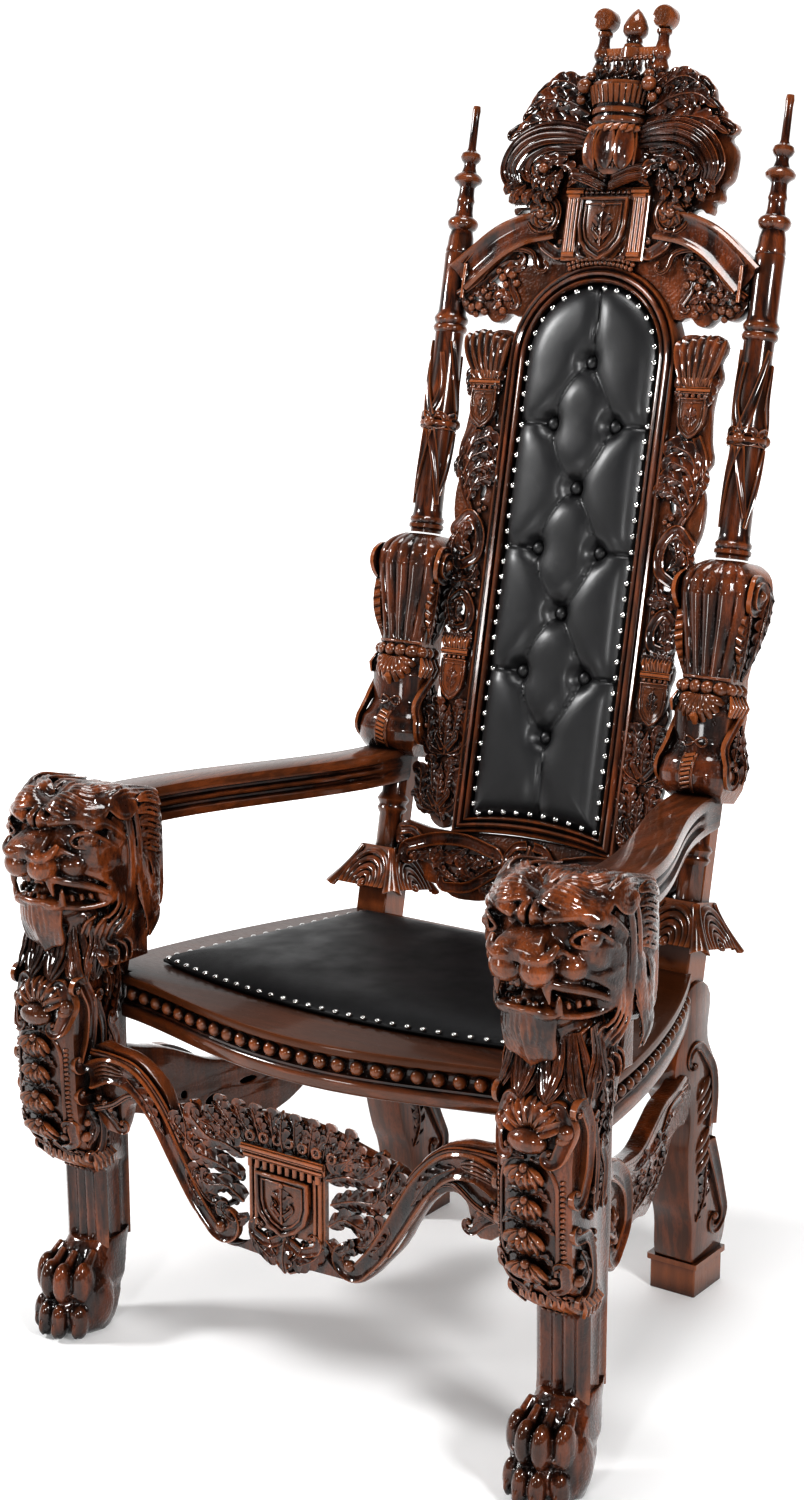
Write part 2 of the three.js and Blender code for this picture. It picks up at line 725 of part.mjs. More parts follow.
function archRing(inset, y) {
  return archPoints(inset).map(([x, z]) => new THREE.Vector3(x, y, z));
}

function backFrame() {
  const section = [
    [0, FRAME_BACK], [0, FRAME_FRONT + 6], [7, FRAME_FRONT], [14, FRAME_FRONT + 5],
    [20, FRAME_FRONT], [FRAME_RIM, FRAME_FRONT + 6], [FRAME_RIM, FRAME_BACK],
  ];
  const moulding = hoop(section.map(([inset, y]) => archRing(inset, y)));
  return join([moulding, archBoard(FRAME_RIM - 1, -2, FRAME_BACK)]);
}

function backPad() {
  const layers = [[0, -2], [0, -12], [10, -22], [44, -28]];
  return join([skin(layers.map(([inset, y]) => archRing(FRAME_RIM + GAP + inset, y - GAP)))]);
}

// ---------------------------------------------------------------- pierced side carving
// A board with straight edges between its points, and round holes given as
// [x, height, half width, half height].
function pierced(points, holes, front, back) {
  const shape = new THREE.Shape(points.map(([x, z]) => spot(x, z)));
  const corners = 5;
  for (const [x, z, across, up] of holes) {
    const rim = [];
    for (let i = 0; i < corners; i += 1) {
      const angle = (2 * Math.PI * i) / corners;
      rim.push(spot(x + across * Math.cos(angle), z + up * Math.sin(angle)));
    }
    shape.holes.push(new THREE.Path(rim));
  }
  return board(shape, front, back);
}

// A C-shaped scroll that ends in a curl.
function hook(points, radius, turn, half, front = -16, back = 0) {
  const line = curl(spline(points, 3), radius, turn, 2);
  return ribbon(line, { half: (t) => half * (1 - 0.45 * t), front, back });
}

function shieldPlate(x, top, half, height) {
  return board(shieldShape(x, top, half, height), -15, 0, 2);
}

function sideCarving() {
  const inner = FRAME_HALF + GAP;
  const [bottom, top] = [646, 1378];
  const outline = [[inner, bottom], [inner, top]];
  const lobes = 16;
  for (let i = 0; i <= lobes; i += 1) {
    const z = THREE.MathUtils.lerp(top, bottom, i / lobes);
    const width = z > COLUMN_BOTTOM + 4 ? 206 : 190;
    outline.push([width + (i % 2 ? 6 : -7), z]);
  }
  const holes = [
    [172, 966, 11, 13], [164, 1024, 15, 6], [172, 1082, 11, 12], [160, 1140, 9, 12],
    [178, 1196, 10, 14],
  ];
  const parts = [
    pierced(outline, holes, -8, 8),
    shieldPlate(169, 896, 22, 60),
    shieldPlate(172, 1296, 22, 60),
    hook([[186, 936], [156, 950], [156, 1004]], 22, -3.2, 8),
    leaf([[172, 1298], [172, 1340], [172, 1384]], 13, -18, 0, 1),
    leaf([[188, 1298], [196, 1336], [196, 1372]], 9, -16, 0, 1),
  ];
  for (let i = 0; i < 2; i += 1) {
    const z = 680 + 72 * i;
    parts.push(leaf([[166, z], [150, z + 20], [146, z + 54]], 9, -16, 0, 1));
    parts.push(leaf([[170, z], [184, z + 20], [189, z + 54]], 9, -16, 0, 1));
  }
  return join(parts);
}

// ---------------------------------------------------------------- carving under the frame
function mirroredOutline(half) {
  return [...half, ...half.filter(([x]) => x > 0).map(([x, z]) => [-x, z]).reverse()];
}

function baseCarving() {
  const end = POST_X - STILE_HALF - GAP;
  const half = [
    [0, 578], [24, 580], [48, 560], [90, 547], [124, 548], [150, 564], [172, 566], [184, 584],
    [208, 600], [end, 614], [end, 640], [FRAME_HALF, 640], [0, 648],
  ];
  const holes = [-1, 1].flatMap((side) => [
    [side * 44, 604, 14, 9], [side * 168, 606, 12, 8],
  ]);
  const parts = [pierced(mirroredOutline(half), holes, -8, 8)];
  for (const side of [-1, 1]) {
    const at = ([x, z]) => [side * x, z];
    parts.push(hook([[70, 626], [120, 632], [170, 630], [204, 618]].map(at), 16, -side * 3.4, 11));
    parts.push(leaf([[20, 612], [60, 584], [124, 560]].map(at), 11, -16, 0, 1));
  }
  parts.push(leaf([[0, 636], [0, 610], [0, 574]], 14, -18, 0, 1));
  return cut(join(parts), archBoard(-GAP, -60, 60));
}

// ---------------------------------------------------------------- crest
// The silhouette of the crest: rail, neck, roll of acanthus and the leaves above it.
const CREST_HALF = [
  [0, 1476], [122, 1394], [150, 1400], [172, 1388], [192, 1402], [214, 1398], [250, 1416],
  [250, 1462], [204, 1508], [166, 1536], [140, 1536], [122, 1550], [146, 1550], [174, 1576],
  [187, 1606], [182, 1640], [170, 1654], [178, 1668], [156, 1674], [150, 1694], [138, 1704],
  [136, 1724], [114, 1728], [100, 1746], [86, 1736], [66, 1740], [60, 1700], [0, 1700],
];

function crestSideParts(side) {
  const at = ([x, z]) => [side * x, z];
  const rail = spline([[244, 1436], [204, 1474], [164, 1508], [110, 1524], [60, 1524]].map(at), 5);
  const bow = [[46, 1606], [76, 1648], [122, 1656], [160, 1634], [164, 1592], [132, 1580]];
  const roll = curl(spline(bow.map(at), 5), 22, -side * 3.2, 3);
  const leaves = [
    [[[56, 1664], [104, 1674], [160, 1670]], 14], [[[50, 1686], [92, 1704], [130, 1722]], 15],
  ];
  return [
    ribbon(rail, { half: (t) => 28 - 6 * t, front: -20, back: 6, flat: 0.8 }),
    ribbon(roll, { half: (t) => 15 - 7 * t, front: -42, back: 0 }),
    ...leaves.map(([points, width]) => leaf(points.map(at), width, -30, 0, 1)),
  ];
}

function crestPanelParts() {
  return [
    ribbon([spot(0, 1470), spot(0, 1584)], { half: 74, front: -30, back: 10, flat: 0.9 }),
    board(shieldShape(0, 1562, 42, 86), -36, 0, 2),
  ];
}

function crownParts() {
  const cup = [
    [1580, 42, -32], [1654, 42, -32], [1660, 52, -50], [1672, 52, -50], [1676, 46, -42],
    [1684, 54, -52], [1698, 46, -42], [1718, 60, -56], [1722, 52, -46],
  ];
  const parts = [
    skin(cup.map(([z, half, front]) => (
      [[-1, 9], [-1, front + 12], [-0.6, front], [0.6, front], [1, front + 12], [1, 9]]
        .map(([x, y]) => new THREE.Vector3(x * half, y, z))
    ))),
    pierced(mirroredOutline([
      [0, 1710], [54, 1710], [40, 1744], [34, 1734], [22, 1752], [18, 1764], [52, 1764], [52, 1780],
      [0, 1780],
    ]), [], -20, 8),
    turned([[13, 1776], [18, 1796], [12, 1818], [1, 1836]], 6),
  ];
  for (let i = -1; i <= 1; i += 1) {
    parts.push(leaf([[i * 26, 1656], [i * 26, 1630], [i * 22, 1598]], 14, -48, -10, 1));
  }
  for (const side of [-1, 1]) {
    parts.push(ball(side * 60, -46, 1719, 13, 5, 3));
    const post = [[10, 1696], [9, 1820]];
    parts.push(turned(post, 5).translate(side * 52, -2, 0));
    parts.push(new THREE.CylinderGeometry(16.5, 16.5, 28, 6).translate(side * 52, -3, 1822));
  }
  return parts;
}

function crest() {
  const plate = pierced(mirroredOutline(CREST_HALF), [[-176, 1440, 18, 12], [176, 1440, 18, 12]], -12, 10);
  const sides = [-1, 1].flatMap(crestSideParts);
  const outside = POST_X - SHAFT_RADIUS * Math.cos(Math.PI / 6) - GAP;
  const ends = [-1, 1].map((side) => (
    new THREE.BoxGeometry(60, 200, 500).translate(side * (outside + 30), 0, 1500)
  ));
  const carved = join([plate, ...sides, ...crestPanelParts(), ...crownParts()]);
  return cut(carved, archBoard(-GAP, -80, 80), ...ends);
}

// ---------------------------------------------------------------- stretchers
// The silhouette of half the front stretcher, from the bottom middle round to the top.
const STRETCHER_HALF = [
  [0, 184], [40, 230], [70, 210], [97, 199], [118, 208], [146, 236], [172, 264], [200, 314],
  [224, 346], [252, 362], [272, 352], [278, 318], [292, 307], [STRETCHER_END, 330], [STRETCHER_END, 424],
  [292, 424], [246, 416], [212, 390], [186, 350], [174, 376], [156, 386], [136, 372], [114, 392],
  [100, 378], [84, 398], [62, 408], [42, 396], [20, 412], [0, 400],
];

function stretcherSideParts(side) {
  const at = ([x, z]) => [side * x, z];
  const [front, back] = [STRETCHER_FRONT, STRETCHER_BACK];
  const arm = spline([[330, 384], [290, 398], [246, 388], [206, 344], [166, 284], [126, 236]].map(at), 5);
  return [
    ribbon(curl(arm, 18, -side * 3, 3), {
      half: (t) => 22 - 13 * t, front: front - 10, back: front + 6, flat: 0.6,
    }),
    leaf([[78, 306], [116, 336], [164, 374]].map(at), 16, front - 8, front + 4, 1),
    leaf([[78, 250], [112, 262], [154, 308]].map(at), 14, front - 8, front + 4, 1),
  ];
}

function frontStretcher() {
  const [front, back] = [STRETCHER_FRONT, STRETCHER_BACK];
  const holes = [-1, 1].flatMap((side) => [
    [side * 94, 288, 9, 8], [side * 120, 304, 8, 8], [side * 24, 230, 6, 6],
  ]);
  const parts = [
    pierced(mirroredOutline(STRETCHER_HALF), holes, front, back),
    block([-72, front - 10, 238], [72, front + 6, 334]),
    block([-78, front - 16, 332], [78, front + 6, 348]),
    board(shieldShape(0, 322, 44, 78), front - 17, front + 4, 2),
  ];
  for (let i = -1; i <= 1; i += 1) {
    parts.push(leaf([[i * 50, 346], [i * 56, 372], [i * 64, 400]], 20, front - 8, front + 4, 1));
  }
  const ends = [-1, 1].map((side) => (
    new THREE.BoxGeometry(60, 200, 400).translate(side * (STRETCHER_END + 30), front, 350)
  ));
  return cut(join([...parts, ...[-1, 1].flatMap(stretcherSideParts)]), ...ends);
}

// The side stretcher is a board with a great C-scroll on its outer face.
function sideStretcher() {
  const [end, [low, high]] = [SIDE_STRETCHER_LENGTH, SIDE_STRETCHER_TENON];
  const outline = [
    [0, 382], [70, 372], [150, 334], [230, 322], [330, high], [end, high], [end, low],
    [380, low - 2], [330, 262], [250, 228], [190, 240], [150, 212], [112, 206], [60, 270], [0, 300],
  ];
  const shape = new THREE.Shape(outline.map(([x, z]) => spot(x, z)));
  const plank = board(shape, -SIDE_STRETCHER_HALF, SIDE_STRETCHER_HALF);
  const scrollLine = curl(spline([[10, 366], [90, 340], [130, 280], [140, 236]], 3), 24, -4, 3);
  const leafLine = [[200, 250], [270, 290], [350, 330]];
  const parts = [
    plank,
    ribbon(scrollLine, { half: (t) => 14 - 7 * t, front: -24, back: -2 }),
    leaf(leafLine, 26, -24, -2, 1),
  ];
  const frontLegRoom = block([200, -500, 0], [500, LEG_BACK + GAP, 600]);
  return cut(join(parts.map(alongSide)), frontLegRoom);
}

// ---------------------------------------------------------------- the throne
const throne = new THREE.Group();
const back = new THREE.Group();
back.rotation.x = -RAKE;
back.position.y = RAKE_FOOT_Y;
throne.add(back);

function place(parent, name, solid, material = WOOD) {
  const mesh = new THREE.Mesh(toGeometry(solid), material);
  mesh.name = name;
  parent.add(mesh);
}

// A piece drawn on the sitter's left (+X) and its mirror image.
function placePair(parent, name, solid, material = WOOD) {
  const geometry = toGeometry(solid);
  for (const [end, shape] of [['left', geometry], ['right', mirrored(geometry)]]) {
    const mesh = new THREE.Mesh(shape, material);
    mesh.name = `${name}_${end}`;
    parent.add(mesh);
  }
}

placePair(throne, 'front_leg', frontLeg());
placePair(throne, 'rear_post', rearPost());
placePair(throne, 'arm', arm());
placePair(throne, 'side_rail', sideRail());
placePair(throne, 'side_stretcher', sideStretcher());
place(throne, 'front_rail', frontRail());
place(throne, 'rear_rail', rearRail());
place(throne, 'seat_board', seatBoard());
place(throne, 'seat_pad', seatPad(), LEATHER);
place(throne, 'front_stretcher', frontStretcher());
place(back, 'back_frame', backFrame());
place(back, 'back_pad', backPad(), LEATHER);
place(back, 'base_carving', baseCarving());
place(back, 'crest', crest());
placePair(back, 'side_carving', sideCarving());
placePair(back, 'corbel', corbel());
placePair(back, 'upper_column', upperColumn().translate([POST_X, 0, 0]));

// The origin moves under the middle of the whole.
throne.updateMatrixWorld(true);
const bounds = new THREE.Box3().setFromObject(throne, true);
throne.position.y = -(bounds.min.y + bounds.max.y) / 2;

export default throne;
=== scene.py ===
# %% [markdown]
# A tall carved throne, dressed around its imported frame: lacquered wood, black leather
# and silver nails. The frame is loaded first, because every piece takes its place from it.

# %% Load the frame
import math
import bpy
import numpy as np
from mathutils import Matrix, Vector


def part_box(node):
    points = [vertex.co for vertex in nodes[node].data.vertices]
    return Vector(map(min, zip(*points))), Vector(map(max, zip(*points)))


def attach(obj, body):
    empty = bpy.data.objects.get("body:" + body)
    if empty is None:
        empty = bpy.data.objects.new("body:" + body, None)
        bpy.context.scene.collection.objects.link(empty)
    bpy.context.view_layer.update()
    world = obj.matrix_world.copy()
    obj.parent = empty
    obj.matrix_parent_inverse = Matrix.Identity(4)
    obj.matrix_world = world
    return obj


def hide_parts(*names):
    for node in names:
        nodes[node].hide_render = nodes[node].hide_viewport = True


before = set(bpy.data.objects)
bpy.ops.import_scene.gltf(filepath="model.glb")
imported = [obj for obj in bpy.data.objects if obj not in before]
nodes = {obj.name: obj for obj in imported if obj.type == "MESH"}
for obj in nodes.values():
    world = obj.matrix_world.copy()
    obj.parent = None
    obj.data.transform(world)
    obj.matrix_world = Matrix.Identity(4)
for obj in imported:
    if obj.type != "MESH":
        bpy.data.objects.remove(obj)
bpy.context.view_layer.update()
bpy.ops.object.select_all(action="DESELECT")

# %% [markdown]
# Carvers measure in millimetres, so every size below is in millimetres and is turned
# into metres when a mesh is made. The frame's origin lies under the middle of the whole
# throne. Depths are counted from a drawing line whose place comes from the seat's rear edge.

# %% Sizes and drawing frames
MM = 0.001
SEAT_REAR = 195.0
DEPTH_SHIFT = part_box("seat_board")[1].y / MM - SEAT_REAR
RAKE = math.radians(12)
RAKE_FOOT_Y = 106.0
POST_X = 255.0
LEG_X = 387.0
HEAD_X = 381.0


def upright(points):
    """Drawn as x, depth, height: only the depth is shifted."""
    return points + np.array([0.0, DEPTH_SHIFT, 0.0])


def raked(points):
    """Drawn upright in the back's own frame, then leaned back about a line on the floor."""
    x, y, z = points.T
    depth = y * math.cos(RAKE) + z * math.sin(RAKE) + RAKE_FOOT_Y + DEPTH_SHIFT
    return np.stack([x, depth, z * math.cos(RAKE) - y * math.sin(RAKE)], 1)


def on_back(points):
    """Drawn flat as x, height, relief, then stood up on the raked back."""
    x, height, relief = points.T
    return raked(np.stack([x, -relief, height], 1))


print("depth shift:", round(DEPTH_SHIFT, 2), "mm")

# %% [markdown]
# The camera stands to the sitter's left, a little above the arms, and looks slightly down.
# It is built from where it stands and where it looks, so the piece keeps its perspective.

# %% Camera
CAMERA_AT = Vector((1741, -2533 + DEPTH_SHIFT, 1483)) * MM
CAMERA_YAW = math.radians(35.37)
CAMERA_PITCH = math.radians(12.37)
FOCAL_TO_HEIGHT = 1.56733
LENS_SHIFT = (-0.00267, 0.00067)
bpy.ops.object.camera_add(
    location=CAMERA_AT, rotation=(math.pi / 2 - CAMERA_PITCH, 0, CAMERA_YAW)
)
camera = bpy.context.object
camera.name = "camera"
camera.data.lens = camera.data.sensor_width * FOCAL_TO_HEIGHT
camera.data.shift_x, camera.data.shift_y = LENS_SHIFT
bpy.context.scene.camera = camera
print("lens:", round(camera.data.lens, 1), "mm")

# %% [markdown]
# Lacquer shows its lights as small hard glints, so a few soft square lights stand round
# the piece. The floor and the surround are white behind it and dim in front of it, so that
# they don't lie as a grey veil on the carving.

# %% Floor and light
bpy.ops.mesh.primitive_plane_add(size=60, location=(0, 0, 0))
floor = bpy.context.object
floor.name = "floor"
floor_paint = bpy.data.materials.new("pale_floor")
floor_paint.use_nodes = True
paint = floor_paint.node_tree
floor_shader = paint.nodes["Principled BSDF"]
floor_shader.inputs["Base Color"].default_value = (0.9, 0.9, 0.9, 1)
floor_shader.inputs["Roughness"].default_value = 0.8
# Painted glow: the floor emits light of its own, white behind the throne and dim in front of it.
floor_shader.inputs["Emission Strength"].default_value = 1.0


def along(tree, output, ranges):
    """How far a place or a direction lies behind the throne, mapped to a brightness."""
    reach = tree.nodes.new("ShaderNodeVectorMath")
    reach.operation = "DOT_PRODUCT"
    reach.inputs[1].default_value = (-math.sin(CAMERA_YAW), math.cos(CAMERA_YAW), 0)
    glow = tree.nodes.new("ShaderNodeMapRange")
    for name, value in zip(("From Min", "From Max", "To Min", "To Max"), ranges):
        glow.inputs[name].default_value = value
    tree.links.new(tree.nodes.new("ShaderNodeTexCoord").outputs[output], reach.inputs[0])
    tree.links.new(reach.outputs["Value"], glow.inputs["Value"])
    return glow.outputs["Result"]


paint.links.new(along(paint, "Object", (0.5, 2.8, 0.12, 1.0)), floor_shader.inputs["Emission Color"])
floor.data.materials.append(floor_paint)

world = bpy.data.worlds.new("studio")
bpy.context.scene.world = world
world.use_nodes = True
sky = world.node_tree
sky.nodes["Background"].inputs["Color"].default_value = (1, 1, 1, 1)
sky.links.new(along(sky, "Generated", (0.35, 0.75, 0.06, 1.0)), sky.nodes["Background"].inputs["Strength"])

LIGHTS = [
    ("key", (-3.4, -2.0, 3.1), 0.8, 135),
    ("side", (3.4, -1.4, 2.4), 0.7, 90),
    ("front", (1.2, -3.9, 1.9), 0.4, 38),
    ("top", (0.2, 0.2, 4.0), 1.2, 60),
    ("low", (-1.0, -3.2, 0.7), 0.5, 10),
]
for name, place, size, power in LIGHTS:
    aim = Vector((0, 0, 0.9)) - Vector(place)
    bpy.ops.object.light_add(type="AREA", location=place, rotation=aim.to_track_quat("-Z", "Y").to_euler())
    light = bpy.context.object
    light.name = name
    light.data.size = size
    light.data.energy = power
bpy.context.scene.view_settings.view_transform = "Standard"
bpy.context.scene.view_settings.look = "Medium High Contrast"
print("lights:", len(LIGHTS))

# %% [markdown]
# Old lacquer is rubbed to orange-brown on the ridges, and a painted highlight lightens them too;
# down in the cuts a painted shade makes it nearly black.
# Two shared groups give that: one reads how open a spot is to the air and how sharply
# the surface turns, the other draws the wood's grain.

# %% Shared effect groups
def new_group(name, inputs, outputs):
    group = bpy.data.node_groups.new(name, "ShaderNodeTree")
    for label, kind, value in inputs:
        socket = group.interface.new_socket(label, in_out="INPUT", socket_type=kind)
        socket.default_value = value
    for label, kind in outputs:
        group.interface.new_socket(label, in_out="OUTPUT", socket_type=kind)
    return group, group.nodes.new("NodeGroupInput"), group.nodes.new("NodeGroupOutput")


def ramp(tree, source, stops):
    node = tree.nodes.new("ShaderNodeValToRGB")
    while len(node.color_ramp.elements) < len(stops):
        node.color_ramp.elements.new(0.5)
    for element, (at, color) in zip(node.color_ramp.elements, stops):
        element.position = at
        element.color = (*color, 1) if len(color) == 3 else color
    tree.links.new(source, node.inputs["Fac"])
    return node.outputs["Color"]


def maths(tree, operation, first, second):
    node = tree.nodes.new("ShaderNodeMath")
    node.operation = operation
    for socket, value in zip(node.inputs, (first, second)):
        if isinstance(value, (int, float)):
            socket.default_value = value
        else:
            tree.links.new(value, socket)
    return node.outputs[0]


def mix(tree, factor, first, second, blend="MIX"):
    node = tree.nodes.new("ShaderNodeMix")
    node.data_type = "RGBA"
    node.blend_type = blend
    sockets = [node.inputs[0], node.inputs[6], node.inputs[7]]
    for socket, value in zip(sockets, (factor, first, second)):
        if hasattr(value, "links"):
            tree.links.new(value, socket)
        elif isinstance(value, (int, float)):
            socket.default_value = value
        else:
            socket.default_value = (*value, 1)
    return node.outputs[2]


shade_and_wear, shade_and_wear_in, shade_and_wear_out = new_group(
    "carving shade and wear",
    [("Reach", "NodeSocketFloat", 0.012)],
    [("Open", "NodeSocketFloat"), ("Edge", "NodeSocketFloat")],
)
# Ambient occlusion finds the enclosed spots where shade falls; the finishes paint that shade into the colour.
hollow = shade_and_wear.nodes.new("ShaderNodeAmbientOcclusion")
hollow.samples = 6
shade_and_wear.links.new(shade_and_wear_in.outputs["Reach"], hollow.inputs["Distance"])
geometry = shade_and_wear.nodes.new("ShaderNodeNewGeometry")
shade_and_wear.links.new(hollow.outputs["AO"], shade_and_wear_out.inputs["Open"])
# Pointiness marks sharp ridges; the finishes make them lighter, partly as rubbed wear and partly as a painted
# highlight.
edge = ramp(shade_and_wear, geometry.outputs["Pointiness"], [(0.505, (0, 0, 0)), (0.63, (1, 1, 1))])
shade_and_wear.links.new(edge, shade_and_wear_out.inputs["Edge"])

grain, grain_in, grain_out = new_group(
    "wood grain",
    [("Stretch", "NodeSocketVector", (60, 60, 5))],
    [(label, "NodeSocketFloat") for label in ("Streak", "Pore", "Cloud", "Mark")],
)
coordinates = grain.nodes.new("ShaderNodeTexCoord")
mapping = grain.nodes.new("ShaderNodeMapping")
grain.links.new(coordinates.outputs["Object"], mapping.inputs["Vector"])
grain.links.new(grain_in.outputs["Stretch"], mapping.inputs["Scale"])
for label, scale, detail, vector in (
    ("Streak", 1.0, 6, mapping.outputs[0]), ("Pore", 7.0, 3, mapping.outputs[0]),
    ("Cloud", 9.0, 2, coordinates.outputs["Object"]), ("Mark", 240.0, 1, coordinates.outputs["Object"]),
):
    noise = grain.nodes.new("ShaderNodeTexNoise")
    noise.inputs["Scale"].default_value = scale
    noise.inputs["Detail"].default_value = detail
    grain.links.new(vector, noise.inputs["Vector"])
    grain.links.new(noise.outputs["Fac"], grain_out.inputs[label])
print("groups:", [group.name for group in bpy.data.node_groups])

# %% [markdown]
# Each wood finish mixes the same steps with its own colours: the wood, its grain, a painted
# shade in the hollows and the rubbed edges with a painted highlight. A clear coat on top gives the lacquer's
# gloss.

# %% Wood finishes
RECESS_SHADE = (0.003, 0.0012, 0.001)
DEEP = (0.018, 0.0048, 0.002)
WARM = (0.13, 0.031, 0.008)
RUBBED_AND_SHEEN = (0.42, 0.12, 0.032)
HOLLOW_REACH = 0.028


def wood_finish(name, stretch, rub_and_sheen, warm=WARM, deep=DEEP, coat=0.9, marks=0.0):
    material = bpy.data.materials.new(name)
    material.use_nodes = True
    tree = material.node_tree
    shader = tree.nodes["Principled BSDF"]
    grain_node = tree.nodes.new("ShaderNodeGroup")
    grain_node.node_tree = grain
    grain_node.inputs["Stretch"].default_value = stretch
    shade_and_wear_node = tree.nodes.new("ShaderNodeGroup")
    shade_and_wear_node.node_tree = shade_and_wear
    shade_and_wear_node.inputs["Reach"].default_value = HOLLOW_REACH
    streak = ramp(tree, grain_node.outputs["Streak"], [(0.41, deep), (0.6, warm)])
    cloud = ramp(tree, grain_node.outputs["Cloud"], [(0.34, (0.35, 0.33, 0.33)), (0.64, (1.2, 1.12, 1.05))])
    wooden = mix(tree, 1.0, streak, cloud, "MULTIPLY")
    pore = ramp(tree, grain_node.outputs["Pore"], [(0.36, (0.35, 0.35, 0.35)), (0.5, (1, 1, 1))])
    wooden = mix(tree, 0.7, wooden, pore, "MULTIPLY")
    # Lighter orange on sharp ridges: partly rubbed wear, partly a painted highlight.
    edge = maths(tree, "MULTIPLY", shade_and_wear_node.outputs["Edge"], rub_and_sheen)
    wooden = mix(tree, edge, wooden, RUBBED_AND_SHEEN)
    # Painted shade: near-black is mixed into the colour where the spot is enclosed.
    painted_hollow_shade = ramp(tree, shade_and_wear_node.outputs["Open"], [(0.42, (1, 1, 1)), (0.95, (0, 0, 0))])
    wooden = mix(tree, painted_hollow_shade, wooden, RECESS_SHADE)
    tree.links.new(wooden, shader.inputs["Base Color"])
    rough = ramp(tree, grain_node.outputs["Pore"], [(0.3, (0.42, 0.42, 0.42)), (0.7, (0.26, 0.26, 0.26))])
    tree.links.new(rough, shader.inputs["Roughness"])
    shader.inputs["Specular IOR Level"].default_value = 0.12
    shader.inputs["Coat Weight"].default_value = coat
    shader.inputs["Coat Roughness"].default_value = 0.08
    bump = tree.nodes.new("ShaderNodeBump")
    bump.inputs["Strength"].default_value = 0.25 + 0.5 * marks
    bump.inputs["Distance"].default_value = 0.0006 + 0.002 * marks
    height = maths(tree, "MULTIPLY", grain_node.outputs["Mark"], marks)
    height = maths(tree, "ADD", maths(tree, "MULTIPLY", grain_node.outputs["Pore"], 1 - 0.85 * marks),
                   height)
    tree.links.new(height, bump.inputs["Height"])
    tree.links.new(bump.outputs["Normal"], shader.inputs["Normal"])
    return material


carved_wood = wood_finish("carved_wood", (40, 40, 9), 0.55, marks=0.9)
lion_wood = wood_finish("lion_wood", (34, 34, 14), 0.6, (0.19, 0.05, 0.013), (0.024, 0.006, 0.002),
                        marks=0.9)
long_wood = wood_finish("long_grained_wood", (120, 12, 120), 0.4, (0.095, 0.025, 0.007), coat=0.5)
wide_wood = wood_finish("cross_grained_wood", (9, 90, 90), 0.55, coat=0.8)
dark_wood = wood_finish("dark_seat_wood", (9, 90, 90), 0.5, (0.026, 0.0075, 0.003), (0.006, 0.002, 0.001),
                        0.2)
tall_wood = wood_finish("tall_grained_wood", (90, 90, 8), 0.45)
print("woods:", [material.name for material in bpy.data.materials if "wood" in material.name])

# %% [markdown]
# The leather has a fine pebbled grain: small cells set the bump, and a slow noise varies
# the sheen. The nails are domed silver, a little dulled.

# %% Leather and silver
def leather_finish(name, coat):
    material = bpy.data.materials.new(name)
    material.use_nodes = True
    tree = material.node_tree
    shader = tree.nodes["Principled BSDF"]
    where = tree.nodes.new("ShaderNodeTexCoord").outputs["Object"]
    cells = tree.nodes.new("ShaderNodeTexVoronoi")
    cells.feature = "DISTANCE_TO_EDGE"
    cells.inputs["Scale"].default_value = 620
    slow = tree.nodes.new("ShaderNodeTexNoise")
    slow.inputs["Scale"].default_value = 22
    for node in (cells, slow):
        tree.links.new(where, node.inputs["Vector"])
    colour = ramp(tree, slow.outputs["Fac"], [(0.3, (0.004, 0.004, 0.0045)), (0.75, (0.009, 0.009, 0.01))])
    tree.links.new(colour, shader.inputs["Base Color"])
    rough = ramp(tree, slow.outputs["Fac"], [(0.3, (0.5, 0.5, 0.5)), (0.7, (0.36, 0.36, 0.36))])
    tree.links.new(rough, shader.inputs["Roughness"])
    bump = tree.nodes.new("ShaderNodeBump")
    bump.inputs["Strength"].default_value = 0.5
    bump.inputs["Distance"].default_value = 0.0005
    tree.links.new(cells.outputs["Distance"], bump.inputs["Height"])
    tree.links.new(bump.outputs["Normal"], shader.inputs["Normal"])
    shader.inputs["Specular IOR Level"].default_value = 0.15 + 0.7 * coat
    shader.inputs["Coat Weight"].default_value = coat
    shader.inputs["Coat Roughness"].default_value = 0.26
    return material


def silver_finish():
    material = bpy.data.materials.new("silver_nails")
    material.use_nodes = True
    tree = material.node_tree
    shader = tree.nodes["Principled BSDF"]
    where = tree.nodes.new("ShaderNodeTexCoord").outputs["Object"]
    spots = tree.nodes.new("ShaderNodeTexNoise")
    spots.inputs["Scale"].default_value = 160
    tree.links.new(where, spots.inputs["Vector"])
    colour = ramp(tree, spots.outputs["Fac"], [(0.35, (0.45, 0.44, 0.42)), (0.6, (0.85, 0.85, 0.84))])
    tree.links.new(colour, shader.inputs["Base Color"])
    shader.inputs["Metallic"].default_value = 1.0
    shader.inputs["Roughness"].default_value = 0.22
    return material


leather = leather_finish("black_leather", 0.3)
seat_leather = leather_finish("worn_seat_leather", 0.02)
silver = silver_finish()
print("finishes:", [material.name for material in bpy.data.materials])

# %% [markdown]
# A carver works with a few gouges. Here each gouge is a small cross-section, and a cut is
# a line that the section is drawn along, wide in its middle and thin at its ends. Blender's
# curves do that: the section is the bevel object, and each point's radius is the width.

# %% Gouges: the cross-sections
def gouge(name, points):
    curve = bpy.data.curves.new(name, "CURVE")
    curve.dimensions = "2D"
    spline = curve.splines.new("POLY")
    spline.points.add(len(points) - 1)
    for point, (across, up) in zip(spline.points, points):
        point.co = (across, up, 0, 1)
    spline.use_cyclic_u = True
    made = bpy.data.objects.new(name, curve)
    bpy.context.collection.objects.link(made)
    made.hide_render = True
    return made


def both_sides(half):
    """A section from its right half, listed from the foot to the middle."""
    return half + [(-across, up) for across, up in reversed(half) if across > 0]


